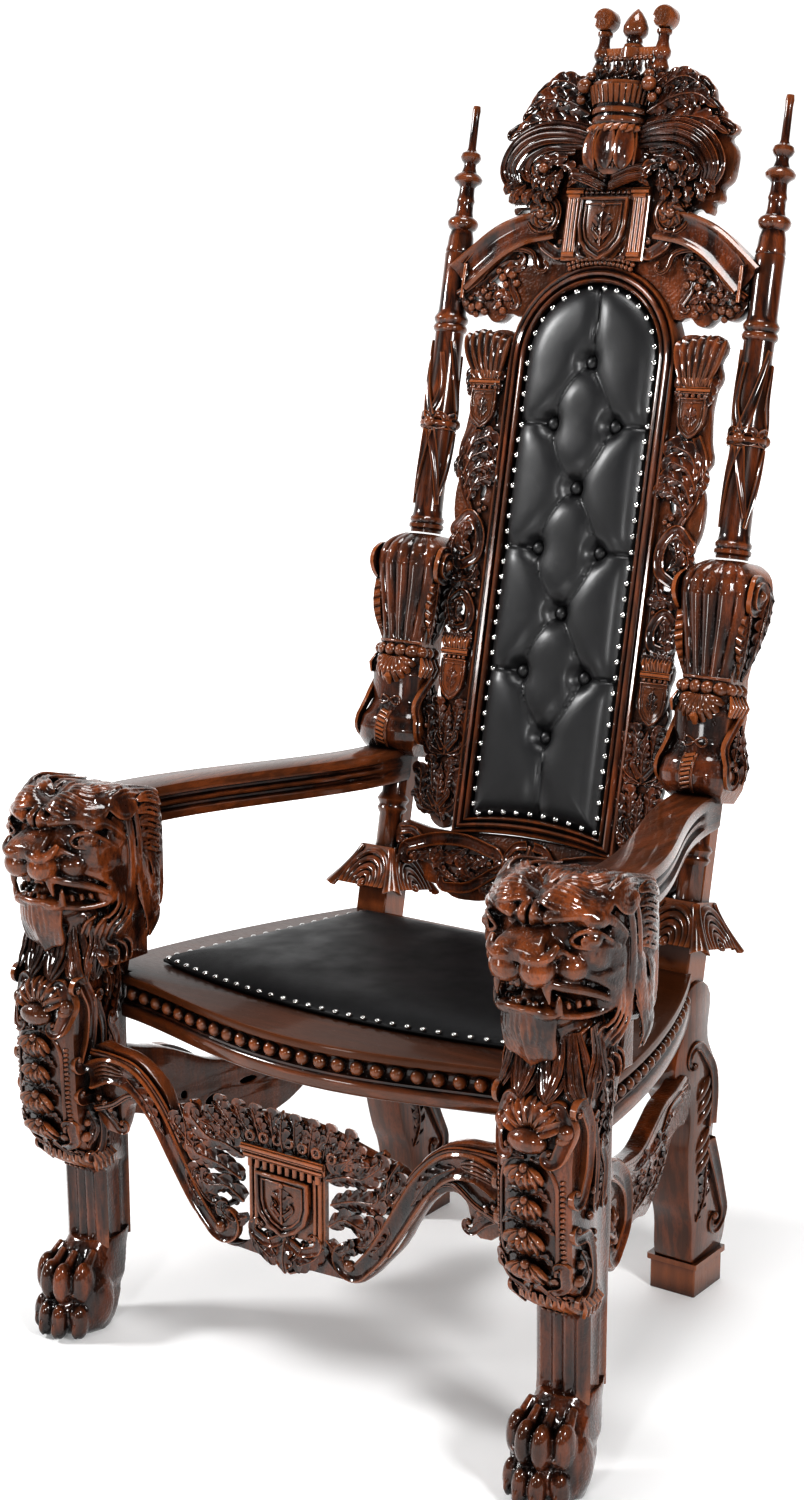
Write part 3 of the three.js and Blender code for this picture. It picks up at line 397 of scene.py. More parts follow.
GOUGES = {
    "finger": gouge("finger", both_sides([(1, -0.2), (1, 0.45), (0.82, 0.66), (0.35, 0.5), (0, 0.3)])),
    "ridge": gouge("ridge", both_sides([(1, -0.2), (0.92, 0.4), (0.6, 0.78), (0.2, 0.95)])),
    "band": gouge("band", both_sides(
        [(1, -0.3), (1, 0.6), (0.84, 0.75), (0.66, 0.6), (0.45, 0.38), (0, 0.3)])),
    "rib": gouge("rib", both_sides([(1, -0.3), (1, 0.3), (0.75, 0.42), (0.55, 0.25), (0.4, 0.6),
                                    (0, 0.72)])),
    "lock": gouge("lock", [
        (-1, -0.2), (-1, 0.3), (-0.8, 0.5), (-0.62, 0.36), (-0.4, 0.72), (-0.18, 0.58), (0.08, 0.86),
        (0.3, 0.64), (0.55, 0.74), (0.72, 0.44), (0.9, 0.5), (1, 0.2), (1, -0.2),
    ]),
    "round": gouge("round", [(math.cos(a), math.sin(a)) for a in np.linspace(0, 2 * math.pi, 12, False)]),
}
print("gouges:", list(GOUGES))


# %% [markdown]
# Lines are drawn through a few points with a smooth spline. A scroll winds on from the end
# of its line. A leaf is a midrib with fingers that spring from it on both sides.

# %% Lines for carving
def smooth_line(points, steps=8):
    """Points on a smooth curve through the given ones, each any number of values long."""
    points = [np.array(point, float) for point in points]
    ends = [2 * points[0] - points[1], *points, 2 * points[-1] - points[-2]]
    line = []
    for a, b, c, d in zip(ends, ends[1:], ends[2:], ends[3:]):
        for step in range(steps):
            t = step / steps
            line.append(0.5 * (2 * b + (c - a) * t + (2 * a - 5 * b + 4 * c - d) * t * t
                               + (3 * b - a - 3 * c + d) * t ** 3))
    line.append(points[-1])
    return np.array(line)


def wound(line, radius, turn, steps=14, tighten=0.75):
    """The line, wound on from its end through an angle while its radius shrinks."""
    line = [np.array(point) for point in line]
    step = line[-1] - line[-2]
    heading = math.atan2(step[1], step[0])
    for index in range(steps):
        bend = turn / steps
        reach = 2 * radius * (1 - tighten * index / steps) * math.sin(abs(bend) / 2)
        heading += bend / 2
        ahead = line[-1].copy()
        ahead[:2] += reach * np.array([math.cos(heading), math.sin(heading)])
        line.append(ahead)
        heading += bend / 2
    return np.array(line)


def stroke(tool, line, width, lift=0.0, *, taper):
    """A cut along a line of x, y (and maybe height): widths swell from and thin to the tapers."""
    line = np.array(line, float)
    if line.shape[1] == 2:
        line = np.column_stack([line, np.zeros(len(line))])
    line[:, 2] += lift
    t = np.linspace(0, 1, len(line))
    swell = np.sin(np.pi * np.clip(t, 0, 1)) ** 0.6
    base = taper[0] * (1 - t) + taper[1] * t
    radius = width * (base + (1 - base) * swell)
    return [(tool, np.column_stack([line, radius]))]


def ribbon_stroke(tool, line, start, end, lift=0.0):
    """A cut whose width runs evenly from start to end."""
    line = np.array(line, float)
    if line.shape[1] == 2:
        line = np.column_stack([line, np.zeros(len(line))])
    line[:, 2] += lift
    return [(tool, np.column_stack([line, np.linspace(start, end, len(line))]))]


def leaf(points, width, lift=3.0, rise=6.0, curl=(0, 0)):
    """An acanthus blade along a line. curl winds its tip up: a radius and an angle."""
    line = smooth_line([point[:2] for point in points], 6)
    if curl[1]:
        line = wound(line, *curl)
    t = np.linspace(0, 1, len(line))
    half = width * (0.5 + 0.5 * np.sin(math.pi * np.minimum(1, 0.15 + t))) * (1 - 0.85 * t ** 5)
    height = lift + rise * np.sin(math.pi * (0.1 + 0.75 * t))
    rib = ribbon_stroke("ridge", np.column_stack([line, height]), 0.1 * width, 0.03 * width, 0.04 * width)
    return [("leaf", np.column_stack([line, height, half])), *rib]


def bundle(points, width, strands, tool, lift, rise, taper):
    """Parallel strokes side by side along one line, drawn together at its ends."""
    line = smooth_line([(*point[:2], 0) for point in points], 7)[:, :2]
    ahead = np.gradient(line, axis=0)
    across = np.column_stack([-ahead[:, 1], ahead[:, 0]])
    across /= np.linalg.norm(across, axis=1, keepdims=True)
    t = np.linspace(0, 1, len(line))
    base = taper[0] * (1 - t) + taper[1] * t
    spread = width * (base + (1 - base) * np.sin(math.pi * t) ** 0.7)
    strokes = []
    for k in np.linspace(-0.5, 0.5, strands):
        path = line + across * (k * spread)[:, None]
        height = lift + rise * np.sin(math.pi * t) * (1 - 2.5 * k * k)
        strokes.append((tool, np.column_stack([path, height, spread / strands * 0.62])))
    return strokes


def fan(centre, radius, start, end, count, lift, rise):
    """A shell: flutes that spread from one point between two angles in degrees."""
    strokes = []
    for angle in np.radians(np.linspace(start, end, count)):
        direction = np.array([math.cos(angle), math.sin(angle)])
        line = [np.array(centre) + direction * radius * t for t in (0.15, 0.5, 0.85, 1.0)]
        heights = lift + rise * np.array([0.2, 0.9, 0.9, 0.2])
        width = radius * math.radians(abs(end - start)) / (count - 1) * 0.5
        line = smooth_line(np.column_stack([line, heights]), 3)
        strokes += stroke("finger", line, width, taper=(0.2, 0.55))
    return strokes


def scroll(points, width, radius, turn, lift=4.0, tool="band", end=0.35, steps=14):
    """A C or S scroll that winds up into an eye."""
    line = wound(smooth_line(points, 6), radius, turn, steps)
    eye = bead(*line[-1][:2], width * 0.55, lift + width * 0.25)
    return ribbon_stroke(tool, line, width, width * end, lift) + eye


def double_scroll(points, width, first, second, lift):
    """A scroll that winds up at both ends. first and second are radius and turn."""
    line = smooth_line(points, 6)
    line = wound(line[::-1], *first)[::-1]
    line = wound(line, *second)
    t = np.linspace(-1, 1, len(line))
    radius = width * (1 - 0.6 * np.abs(t) ** 2.5)
    eyes = [bead(*place[:2], width * 0.5, lift + width * 0.2) for place in (line[0], line[-1])]
    band = ("band", np.column_stack([line[:, :2], np.full(len(line), lift), radius]))
    return [band, *eyes[0], *eyes[1]]


def bead(x, y, radius, lift):
    return [("ball", np.array([[x, y, lift, radius]]))]


def mirrored(strokes):
    """The same strokes on the other side of x = 0."""
    copies = []
    for tool, points in strokes:
        points = np.array(points, float)
        points[:, 0] *= -1
        copies.append((tool, points))
    return copies


def shifted(strokes, x, y):
    return [(tool, points + np.array([x, y, 0.0, 0.0])) for tool, points in strokes]


print("a test leaf has", len(leaf([(0, 0), (0, 40)], 20)), "strokes")


# %% [markdown]
# The strokes become meshes in one go for each gouge. They are joined with the plain bodies
# that they are carved on, moved to their place, welded and turned right side out.

# %% From strokes to pieces
MOST_TRIANGLES = 100_000
WELD_IN_METRES = 0.00002


def select_only(*objects):
    bpy.ops.object.select_all(action="DESELECT")
    for one in objects:
        one.select_set(True)
    bpy.context.view_layer.objects.active = objects[0]


def drawn(tool, lines):
    """All lines of one gouge as one mesh object, flat, in millimetres."""
    curve = bpy.data.curves.new(tool, "CURVE")
    curve.dimensions = "3D"
    curve.twist_mode = "MINIMUM" if tool == "round" else "Z_UP"
    curve.bevel_mode = "OBJECT"
    curve.bevel_object = GOUGES[tool]
    curve.use_fill_caps = True
    for line in lines:
        spline = curve.splines.new("POLY")
        spline.points.add(len(line) - 1)
        for point, (x, y, z, radius) in zip(spline.points, line):
            point.co = (x, y, z, 1)
            point.radius = radius
    made = bpy.data.objects.new(tool, curve)
    bpy.context.collection.objects.link(made)
    select_only(made)
    bpy.ops.object.convert(target="MESH")
    return bpy.context.object


def blade(line):
    """The skin of an acanthus blade: hollow lobes, and a sharp ridge between each two."""
    run = np.concatenate([[0], np.cumsum(np.linalg.norm(np.diff(line[:, :2], axis=0), axis=1))])
    lobes = max(3, round(run[-1] / (1.1 * line[:, 3].max())))
    at = np.linspace(0, run[-1], lobes * 8 + 1)
    x, y, height, half = (np.interp(at, run, column) for column in line.T)
    ahead = np.column_stack([np.gradient(x), np.gradient(y)])
    ahead /= np.linalg.norm(ahead, axis=1, keepdims=True)
    hollow = np.sin(math.pi * (np.arange(len(at)) / 8 % 1)) ** 0.7
    rings = []
    for i, reach in enumerate(half):
        ring = []
        for v in (-1, -0.92, -0.75, -0.5, -0.25, 0, 0.25, 0.5, 0.75, 0.92, 1, 0.7, -0.7):
            side = abs(v)
            out = v * reach * (1 - 0.36 * (1 - hollow[i]) * side)
            forward = 0.7 * reach * side ** 1.5
            up = height[i] + reach * (0.3 * side ** 0.7 * (0.35 - hollow[i]) + 0.16 * side ** 4 - 0.12 * side)
            if len(ring) > 10:
                up = height[i] - 0.75 * reach - 2
            ring.append((x[i] - ahead[i, 1] * out + ahead[i, 0] * forward,
                         y[i] + ahead[i, 0] * out + ahead[i, 1] * forward, up))
        rings.append(ring)
    return loft(rings)


def blades(lines):
    made = [blade(line) for line in lines]
    select_only(*made)
    if len(made) > 1:
        bpy.ops.object.join()
    return bpy.context.object


def spheres(places, segments, rings):
    """One sphere, copied to every (x, y, z, x radius, y radius, z radius), as one object."""
    bpy.ops.mesh.primitive_uv_sphere_add(segments=segments, ring_count=rings, radius=1)
    pattern = bpy.context.object
    made = []
    for x, y, z, *radii in places:
        copy = pattern.copy()
        copy.data = pattern.data.copy()
        copy.location = (x, y, z)
        copy.scale = radii
        bpy.context.collection.objects.link(copy)
        made.append(copy)
    bpy.data.objects.remove(pattern)
    select_only(*made)
    bpy.ops.object.transform_apply()
    if len(made) > 1:
        bpy.ops.object.join()
    return bpy.context.object


def circle(x, z, across, up, count, start=0.0, end=6.3):
    """A ring of points to draw a stroke along; it closes, or overlaps itself a little."""
    return [(x + across * math.cos(a), z + up * math.sin(a)) for a in np.linspace(start, end, count)]


def balls(places):
    """Beads and eyes, from (x, y, z, radius)."""
    return spheres([(x, y, z, radius, radius, radius) for x, y, z, radius in places], 12, 7)


def carve(strokes):
    """Strokes as one flat mesh object."""
    made = []
    for tool in dict.fromkeys(tool for tool, points in strokes):
        lines = [points for name, points in strokes if name == tool]
        if tool == "ball":
            made.append(balls(np.concatenate(lines)))
        elif tool == "leaf":
            made.append(blades(lines))
        else:
            made.append(drawn(tool, lines))
    select_only(*made)
    if len(made) > 1:
        bpy.ops.object.join()
    return bpy.context.object


def moved(piece, place):
    """Applies a placing function to every point, and turns millimetres into metres."""
    points = np.empty(len(piece.data.vertices) * 3)
    piece.data.vertices.foreach_get("co", points)
    points = place(points.reshape(-1, 3)) * MM
    piece.data.vertices.foreach_set("co", points.astype(np.float32).ravel())
    piece.data.update()
    return piece


def lighter(piece, triangles):
    """Collapses the edges that matter least until about this many triangles are left."""
    count = sum(len(polygon.vertices) - 2 for polygon in piece.data.polygons)
    if count > triangles:
        thin = piece.modifiers.new("thin", "DECIMATE")
        thin.ratio = triangles / count
        bpy.ops.object.modifier_apply(modifier="thin")


def finished(name, bodies, material, replaces=(), angle=42):
    """Joins the bodies into one named piece, cleans it and fastens it to the frame."""
    select_only(*bodies)
    if len(bodies) > 1:
        bpy.ops.object.join()
    piece = bpy.context.object
    lighter(piece, MOST_TRIANGLES)
    piece.name = name
    piece.data.name = name
    bpy.ops.object.mode_set(mode="EDIT")
    bpy.ops.mesh.select_all(action="SELECT")
    bpy.ops.mesh.remove_doubles(threshold=WELD_IN_METRES)
    bpy.ops.mesh.normals_make_consistent(inside=False)
    bpy.ops.object.mode_set(mode="OBJECT")
    bpy.ops.object.shade_smooth_by_angle(angle=math.radians(angle))
    piece.data.materials.clear()
    piece.data.materials.append(material)
    for polygon in piece.data.polygons:
        polygon.material_index = 0
    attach(piece, "root")
    if replaces:
        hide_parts(*replaces)
    print(name, len(piece.data.polygons), "faces")
    return piece


def offset(piece, x=0.0, y=0.0, z=0.0):
    """Moves every point of a body."""
    piece.data.transform(Matrix.Translation((x, y, z)))
    return piece


def flipped_copy(piece):
    """A mirror image of a flat or placed body, in its own mesh."""
    copy = piece.copy()
    copy.data = piece.data.copy()
    bpy.context.collection.objects.link(copy)
    copy.data.transform(Matrix.Diagonal((-1, 1, 1, 1)))
    copy.data.flip_normals()
    return copy


def twins(name, bodies, material, node="", angle=42):
    """A finished piece on the sitter's left, and its mirror image on the right."""
    bodies = list(bodies)
    for side in ("left", "right"):
        replaces = [f"{node}_{side}"] if node else []
        piece = finished(f"{name}_{side}", bodies, material, replaces, angle=angle)
        bodies = [flipped_copy(piece)] if side == "left" else []


def plate(outline, holes, low, high, edge=2.0, resolution=4):
    """A flat board with a smooth outline, smooth holes and rounded edges."""
    curve = bpy.data.curves.new("plate", "CURVE")
    curve.dimensions = "2D"
    curve.fill_mode = "BOTH"
    curve.resolution_u = resolution
    curve.extrude = (high - low) / 2 - edge
    curve.bevel_depth = edge
    curve.bevel_resolution = 1
    for points in [outline, *holes]:
        spline = curve.splines.new("BEZIER")
        spline.bezier_points.add(len(points) - 1)
        for knot, (x, y) in zip(spline.bezier_points, points):
            knot.co = (x, y, 0)
            knot.handle_left_type = knot.handle_right_type = "AUTO"
        spline.use_cyclic_u = True
    made = bpy.data.objects.new("plate", curve)
    bpy.context.collection.objects.link(made)
    made.location.z = (high + low) / 2
    select_only(made)
    bpy.ops.object.convert(target="MESH")
    bpy.ops.object.transform_apply()
    return bpy.context.object


def oval(x, y, across, up, turn=0.0):
    """A round hole for a plate."""
    angles = np.linspace(0, 2 * math.pi, 8, False)
    return [
        (x + across * math.cos(a) * math.cos(turn) - up * math.sin(a) * math.sin(turn),
         y + across * math.cos(a) * math.sin(turn) + up * math.sin(a) * math.cos(turn))
        for a in angles
    ]


def loft(rings, closed_ends=True):
    """A skin over rows of points, as a mesh object."""
    rings = np.array(rings, float)
    count, sides = rings.shape[:2]
    faces = []
    for i in range(count - 1):
        for j in range(sides):
            k = (j + 1) % sides
            faces.append((i * sides + j, i * sides + k, (i + 1) * sides + k, (i + 1) * sides + j))
    if closed_ends:
        faces.append(tuple(range(sides))[::-1])
        faces.append(tuple(range((count - 1) * sides, count * sides)))
    mesh = bpy.data.meshes.new("loft")
    mesh.from_pydata(rings.reshape(-1, 3).tolist(), [], faces)
    made = bpy.data.objects.new("loft", mesh)
    bpy.context.collection.objects.link(made)
    return made


def turned(profile, steps=32):
    """A turned shape about the Z axis, from radii and heights, spun like on a lathe."""
    mesh = bpy.data.meshes.new("turned")
    points = [(0, 0, profile[0][1]), *[(radius, 0, height) for radius, height in profile],
              (0, 0, profile[-1][1])]
    mesh.from_pydata(points, [(i, i + 1) for i in range(len(points) - 1)], [])
    made = bpy.data.objects.new("turned", mesh)
    bpy.context.collection.objects.link(made)
    select_only(made)
    bpy.ops.object.mode_set(mode="EDIT")
    bpy.ops.mesh.select_all(action="SELECT")
    bpy.ops.mesh.spin(steps=steps, angle=2 * math.pi, center=(0, 0, 0), axis=(0, 0, 1))
    bpy.ops.mesh.select_all(action="SELECT")
    bpy.ops.mesh.remove_doubles(threshold=0.001)
    bpy.ops.mesh.normals_make_consistent(inside=False)
    bpy.ops.object.mode_set(mode="OBJECT")
    return made


print("kit ready")

# %% [markdown]
# The seat is a frame of moulded rails under a wide wooden border. In plan it is bowed in
# front and narrows to the rear in a gentle curve, so its outline is two short formulas.

# %% Outline of the seat
LEG_BACK = -240.0
LEG_INNER = 349.0
SEAT_TOP = 500.0
GAP = 0.4


def seat_half(y):
    u = (y - LEG_BACK) / (SEAT_REAR - LEG_BACK)
    return 409 - 48 * u - 78 * u * u


def seat_front(x):
    return -330 + 9.81e-4 * x ** 2 - 3.4e-9 * x ** 4


def seat_outline(inset):
    """The right half from the front middle to the rear corner, then the left half back."""
    half = [(x, seat_front(x) + inset) for x in np.linspace(0, LEG_INNER - GAP, 24)]
    half.append((LEG_INNER - GAP, LEG_BACK + GAP))
    half += [(seat_half(y) - inset, y) for y in np.linspace(LEG_BACK + GAP, SEAT_REAR - inset, 24)]
    return half + [(-x, y) for x, y in reversed(half[1:])]


def inset_loop(points, inset):
    """A closed loop of points moved inwards along its own normals."""
    points = np.array(points, float)
    ahead = np.roll(points, -1, 0) - points
    behind = points - np.roll(points, 1, 0)
    for edges in (ahead, behind):
        edges /= np.maximum(np.linalg.norm(edges, axis=1, keepdims=True), 1e-9)
    middle = ahead + behind
    middle /= np.maximum(np.linalg.norm(middle, axis=1, keepdims=True), 1e-9)
    normal = np.stack([-middle[:, 1], middle[:, 0]], 1)
    stretch = np.clip((normal * np.stack([-behind[:, 1], behind[:, 0]], 1)).sum(1), 0.5, 1)
    return points + normal * (inset / stretch)[:, None]


def moulded_rail(line, profile):
    """A moulding along a row of (x, y, outward x, outward y), from (inset, height) points."""
    rings = [[(x - ox * inset, y - oy * inset, z) for inset, z in profile] for x, y, ox, oy in line]
    return loft(rings)


print("seat width in front:", round(2 * seat_half(LEG_BACK)), "mm")

# %% [markdown]
# The border is one wide board with a rounded nose. The rails below it have a lower band,
# a hollow and, in the hollow, a row of turned half-beads. One bead is modelled and copied.

# %% Seat border and rails
RAIL_PROFILE = [
    (40, 487.6), (40, 438.2), (6, 438.2), (2, 440), (0.3, 443), (0.3, 455), (2, 458.5), (5, 460),
    (5, 463), (10, 466), (12.5, 472), (12, 479), (8, 484), (6, 487.6),
]
BEAD_STEP = 26.4


def seat_border():
    nose = [(6, 487.8), (1.5, 488.4), (0.3, 491), (0.3, 496), (1.5, 499), (4.5, 500)]
    outline = seat_outline(0)
    rings = [[(x, y, height) for x, y in inset_loop(outline, inset)] for inset, height in nose]
    return loft(rings)


border = moved(seat_border(), upright)
finished("seat_border", [border], dark_wood, ["seat_board"], angle=40)

front_line = [(x, seat_front(x), 0, -1) for x in np.linspace(-LEG_INNER + GAP, LEG_INNER - GAP, 60)]
front_beads = [(x, seat_front(x) + 7, 474.5, 9.6) for x in (np.arange(26) - 12.5) * BEAD_STEP]
finished("front_rail_moulding",
         [moved(moulded_rail(front_line, RAIL_PROFILE), upright), moved(balls(front_beads), upright)],
         wide_wood, ["front_rail"], angle=40)

side_line = [(seat_half(y), y, 1, 0) for y in np.linspace(LEG_BACK + GAP, SEAT_REAR, 40)]
side_profile = [(min(inset, 34), z) for inset, z in RAIL_PROFILE]
side_beads = [(seat_half(y) - 7, y, 474.5, 9) for y in np.arange(LEG_BACK + 20, 160, BEAD_STEP)]
twins("side_rail_moulding",
      [moved(moulded_rail(side_line, side_profile), upright), moved(balls(side_beads), upright)],
      long_wood, "side_rail", angle=40)
nodes["rear_rail"].data.materials[0] = wide_wood

# %% [markdown]
# Each arm is sawn from a thick board and sweeps inwards from the lion's mane to the post.
# Its top is softly rounded, and a long recess with a rib in it is cut along both faces.

# %% Arms
ARM_TOP = 742.0
ARM_UNDER = 690.0
ARM_FRONT = -221.7
ARM_REAR = 262.0


def rake_depth(y, z):
    return RAKE_FOOT_Y + y / math.cos(RAKE) + z * math.tan(RAKE)


def arm():
    rings = []
    for t in np.linspace(0, 1, 60):
        ease = t * t * (3 - 2 * t)
        outer = 424 + (289 - 424) * ease
        inner = 350 + (229 - 350) * ease
        lift = 6 * max(0.0, 1 - t / 0.8)
        low, high = ARM_UNDER + lift, ARM_TOP + lift
        y = ARM_FRONT + (ARM_REAR - ARM_FRONT) * t
        cut = 7 * min(1, max(0, (t - 0.02) / 0.03), max(0, (0.87 - t) / 0.03))
        middle = (low + high) / 2 - 1
        groove = [(0, 12), (cut, 9), (cut, 6), (cut * 0.35, 3), (cut * 0.2, 0), (cut * 0.35, -3), (cut, -6),
                  (cut, -9), (0, -12)]
        section = [(outer - 7, low), (outer - 2, low + 1.5), (outer, low + 6)]
        section += [(outer - sink, middle - up) for sink, up in groove]
        section += [(outer, high - 7), (outer - 2.5, high - 2), (outer - 8, high)]
        section += [(inner + 8, high), (inner + 2.5, high - 2), (inner, high - 7)]
        section += [(inner + sink, middle + up) for sink, up in groove]
        section += [(inner, low + 6), (inner + 2, low + 1.5), (inner + 7, low)]
        rings.append([(x, min(y, rake_depth(-1.4, z)), z) for x, z in section])
    return loft(rings)


twins("arm_board", [moved(arm(), upright)], long_wood, "arm", angle=35)

# %% [markdown]
# The back's moulding runs up both sides and round the arch in one sweep. Its section has
# two rounds with a deep groove between them. A thin panel closes the back behind the pad.

# %% Back frame
FRAME_HALF = 137.0
FRAME_BOTTOM = 652.0
FRAME_TOP = 1473.0
FRAME_SAG = 12.0
ARCH_MIDDLE = FRAME_TOP - FRAME_HALF
FRAME_WIDTH = 27
FRAME_SECTION = [
    (0, 18), (0, -12), (1.5, -15.5), (4, -16.5), (6.5, -14.5), (8, -13), (10, -17.5), (13, -20),
    (16, -18.5), (18, -13.5), (20, -16.5), (22.5, -19), (25, -17), (27, -11), (27, -1.7), (27, 18),
]


def arch(inset):
    """The arched outline of the back frame, shrunk by an inset."""
    half = FRAME_HALF - inset
    bottom = FRAME_BOTTOM + inset
    upright_steps = np.linspace(ARCH_MIDDLE, bottom - FRAME_SAG, 26)[1:-1]
    points = circle(0, ARCH_MIDDLE, half, half, 28, end=math.pi)
    points += [(-half, z) for z in upright_steps]
    points += [(x, bottom - FRAME_SAG * (x / half) ** 2) for x in np.linspace(-half, half, 26)]
    return points + [(half, z) for z in upright_steps[::-1]]


def back_moulding():
    rings = [[(x, depth, z) for x, z in arch(inset)] for inset, depth in FRAME_SECTION]
    moulding = loft(rings + rings[:1], closed_ends=False)
    panel = loft([[(x, depth, z) for x, z in arch(26.5)] for depth in (-1.7, 17.5)])
    return [moved(moulding, raked), moved(panel, raked)]


finished("back_frame_moulding", back_moulding(), tall_wood, ["back_frame"], angle=35)

# %% [markdown]
# The back pad is leather drawn over foam. Seven buttons are pulled through it, and the
# leather folds into pleats from each button to the next. The face is one grid, and its
# height is a crown that falls at the rim, less the dimples and the folds.

# %% Back pad
PAD_HALF = FRAME_HALF - FRAME_WIDTH - GAP
PAD_BOTTOM = FRAME_BOTTOM + FRAME_WIDTH + GAP
PAD_CROWN = 25.0
BUTTONS = [(0, 797), (0, 976), (0, 1155), (0, 1334)]
BUTTONS += [(side * 51, z) for z in (888, 1066, 1245) for side in (-1, 1)]
PLEATS = [((0, 650), (0, 797), 8), ((0, 1334), (0, 1450), 8)]
for low, pair, high in ((797, 888, 976), (976, 1066, 1155), (1155, 1245, 1334)):
    for side in (-1, 1):
        PLEATS.append(((0, low), (side * 51, pair), side * 7))
        PLEATS.append(((side * 51, pair), (0, high), side * 7))
        PLEATS.append(((side * 51, pair), (side * 112, pair), 0))


def rim_distance(x, z):
    """How far a point of the pad lies inside its rim."""
    bottom = PAD_BOTTOM - FRAME_SAG * (x / PAD_HALF) ** 2
    side = np.where(z > ARCH_MIDDLE, PAD_HALF - np.hypot(x, z - ARCH_MIDDLE), PAD_HALF - np.abs(x))
    return np.minimum(side, z - bottom)


def line_distance(x, z, start, end, bow):
    """Distance from a fold that bows sideways between two points."""
    start, end = np.array(start, float), np.array(end, float)
    along = end - start
    length = np.hypot(*along)
    along /= length
    t = np.clip(((x - start[0]) * along[0] + (z - start[1]) * along[1]) / length, 0, 1)
    sway = bow * np.sin(math.pi * t)
    px = start[0] + along[0] * length * t + along[1] * sway
    pz = start[1] + along[1] * length * t - along[0] * sway
    return np.hypot(x - px, z - pz)


def pad_height(x, z):
    inside = np.maximum(rim_distance(x, z), 0)
    height = PAD_CROWN * (1 - np.exp(-inside / 15)) ** 0.8
    for bx, bz in BUTTONS:
        r = np.hypot(x - bx, z - bz)
        height -= 13 * np.exp(-((r / 11) ** 2)) + 6 * np.exp(-((r / 30) ** 2))
    for start, end, bow in PLEATS:
        away = line_distance(x, z, start, end, bow)
        height -= 4.5 * np.exp(-((away / 2.6) ** 2)) + 4 * np.exp(-((away / 14) ** 2))
    return np.maximum(height, 0.5)


def back_pad():
    rows, columns = 300, 84
    top = ARCH_MIDDLE + PAD_HALF - 0.5
    grid = []
    for v in np.linspace(0, 1, rows):
        u = np.sin(np.linspace(-1, 1, columns) * math.pi / 2)
        z = PAD_BOTTOM + v * (top - PAD_BOTTOM)
        above = max(z - ARCH_MIDDLE, 0)
        half = math.sqrt(max(PAD_HALF ** 2 - above ** 2, 0.01))
        x = u * half
        zs = z - (1 - v) * FRAME_SAG * (x / PAD_HALF) ** 2
        grid.append(np.stack([x, -2.2 - pad_height(x, zs), zs], 1))
    grid = np.array(grid)
    faces = [
        (i * columns + j, i * columns + j + 1, (i + 1) * columns + j + 1, (i + 1) * columns + j)
        for i in range(rows - 1) for j in range(columns - 1)
    ]
    mesh = bpy.data.meshes.new("back_pad")
    mesh.from_pydata(grid.reshape(-1, 3).tolist(), [], faces)
    made = bpy.data.objects.new("back_pad", mesh)
    bpy.context.collection.objects.link(made)
    select_only(made)
    bpy.ops.object.mode_set(mode="EDIT")
    bpy.ops.mesh.select_all(action="SELECT")
    bpy.ops.mesh.region_to_loop()
    bpy.ops.mesh.edge_face_add()
    bpy.ops.object.mode_set(mode="OBJECT")
    return made


def buttons():
    radius = 9.5
    places = []
    for x, z in BUTTONS:
        sink = pad_height(np.array([x]), np.array([z]))[0] + 5.2
        places.append((x, -sink, z, radius, radius * 0.62, radius))
    return spheres(places, 24, 12)


cushion = finished("back_cushion", [moved(back_pad(), raked)], leather, ["back_pad"],
                   angle=80)
finished("back_buttons", [moved(buttons(), raked)], leather, angle=80)


# %% [markdown]
# Nails are one low dome each, copied along a line at even steps.

# %% Nails and the seat pad
def even_steps(points, step):
    """Places at even steps along a closed line, with the direction of the line at each."""
    points = np.array(points, float)
    closed = np.concatenate([points, points[:1]])
    lengths = np.linalg.norm(np.diff(closed, axis=0), axis=1)
    along = np.concatenate([[0], np.cumsum(lengths)])
    count = int(round(along[-1] / step))
    marks = np.linspace(0, along[-1], count, endpoint=False)
    return np.stack([np.interp(marks, along, closed[:, axis]) for axis in range(points.shape[1])], 1)


def nails(name, places, radius, place):
    """Domed nails at places drawn flat as x, y, height."""
    domes = spheres([(x, y, z, radius, radius, radius * 0.6) for x, y, z in places], 10, 6)
    return finished(name, [moved(domes, place)], silver, angle=80)


edge_line = even_steps(arch(27 + 6.5), 22)
rim = [(x, z, 5.5 + pad_height(np.array([x]), np.array([z]))[0] * 0.75) for x, z in edge_line]
nails("back_nails", rim, 4.6, on_back)

PAD_CORNER = (335, -188)
PAD_REAR = (250, 150)


def pad_outline():
    """The seat pad's outline: bowed in front, straight sides, narrower at the rear."""
    half = [(x, PAD_CORNER[1] - 52 * (1 - (x / PAD_CORNER[0]) ** 2))
            for x in np.linspace(0, PAD_CORNER[0], 22)]
    half += [tuple(np.array(PAD_CORNER) + (np.array(PAD_REAR) - PAD_CORNER) * t)
             for t in np.linspace(0, 1, 22)[1:]]
    half += [(x, PAD_REAR[1]) for x in np.linspace(PAD_REAR[0], 0, 16)[1:-1]]
    return half + [(-x, y) for x, y in half[::-1] if x > 0]


def seat_pad():
    outline = np.array(pad_outline())
    middle = np.array([0.0, -30.0])
    rings = [np.column_stack([outline * 0.97 + middle * 0.03, np.full(len(outline), SEAT_TOP + 0.4)])]
    for scale in [1.0, 1.0, *np.linspace(0.992, 0.02, 46)]:
        spread = middle + (outline - middle) * scale
        wrinkle = 0.5 * np.sin(spread[:, 0] / 31 + 2 * np.sin(spread[:, 1] / 57)) * scale * (1 - scale) * 4
        height = 25 * (1 - np.exp(-(1 - scale) * 9)) + 3 * (1 - scale ** 2) + wrinkle
        rise = 2 if len(rings) == 1 else 5.5
        rings.append(np.column_stack([spread, SEAT_TOP + rise + height * 0.86]))
    return loft(rings)


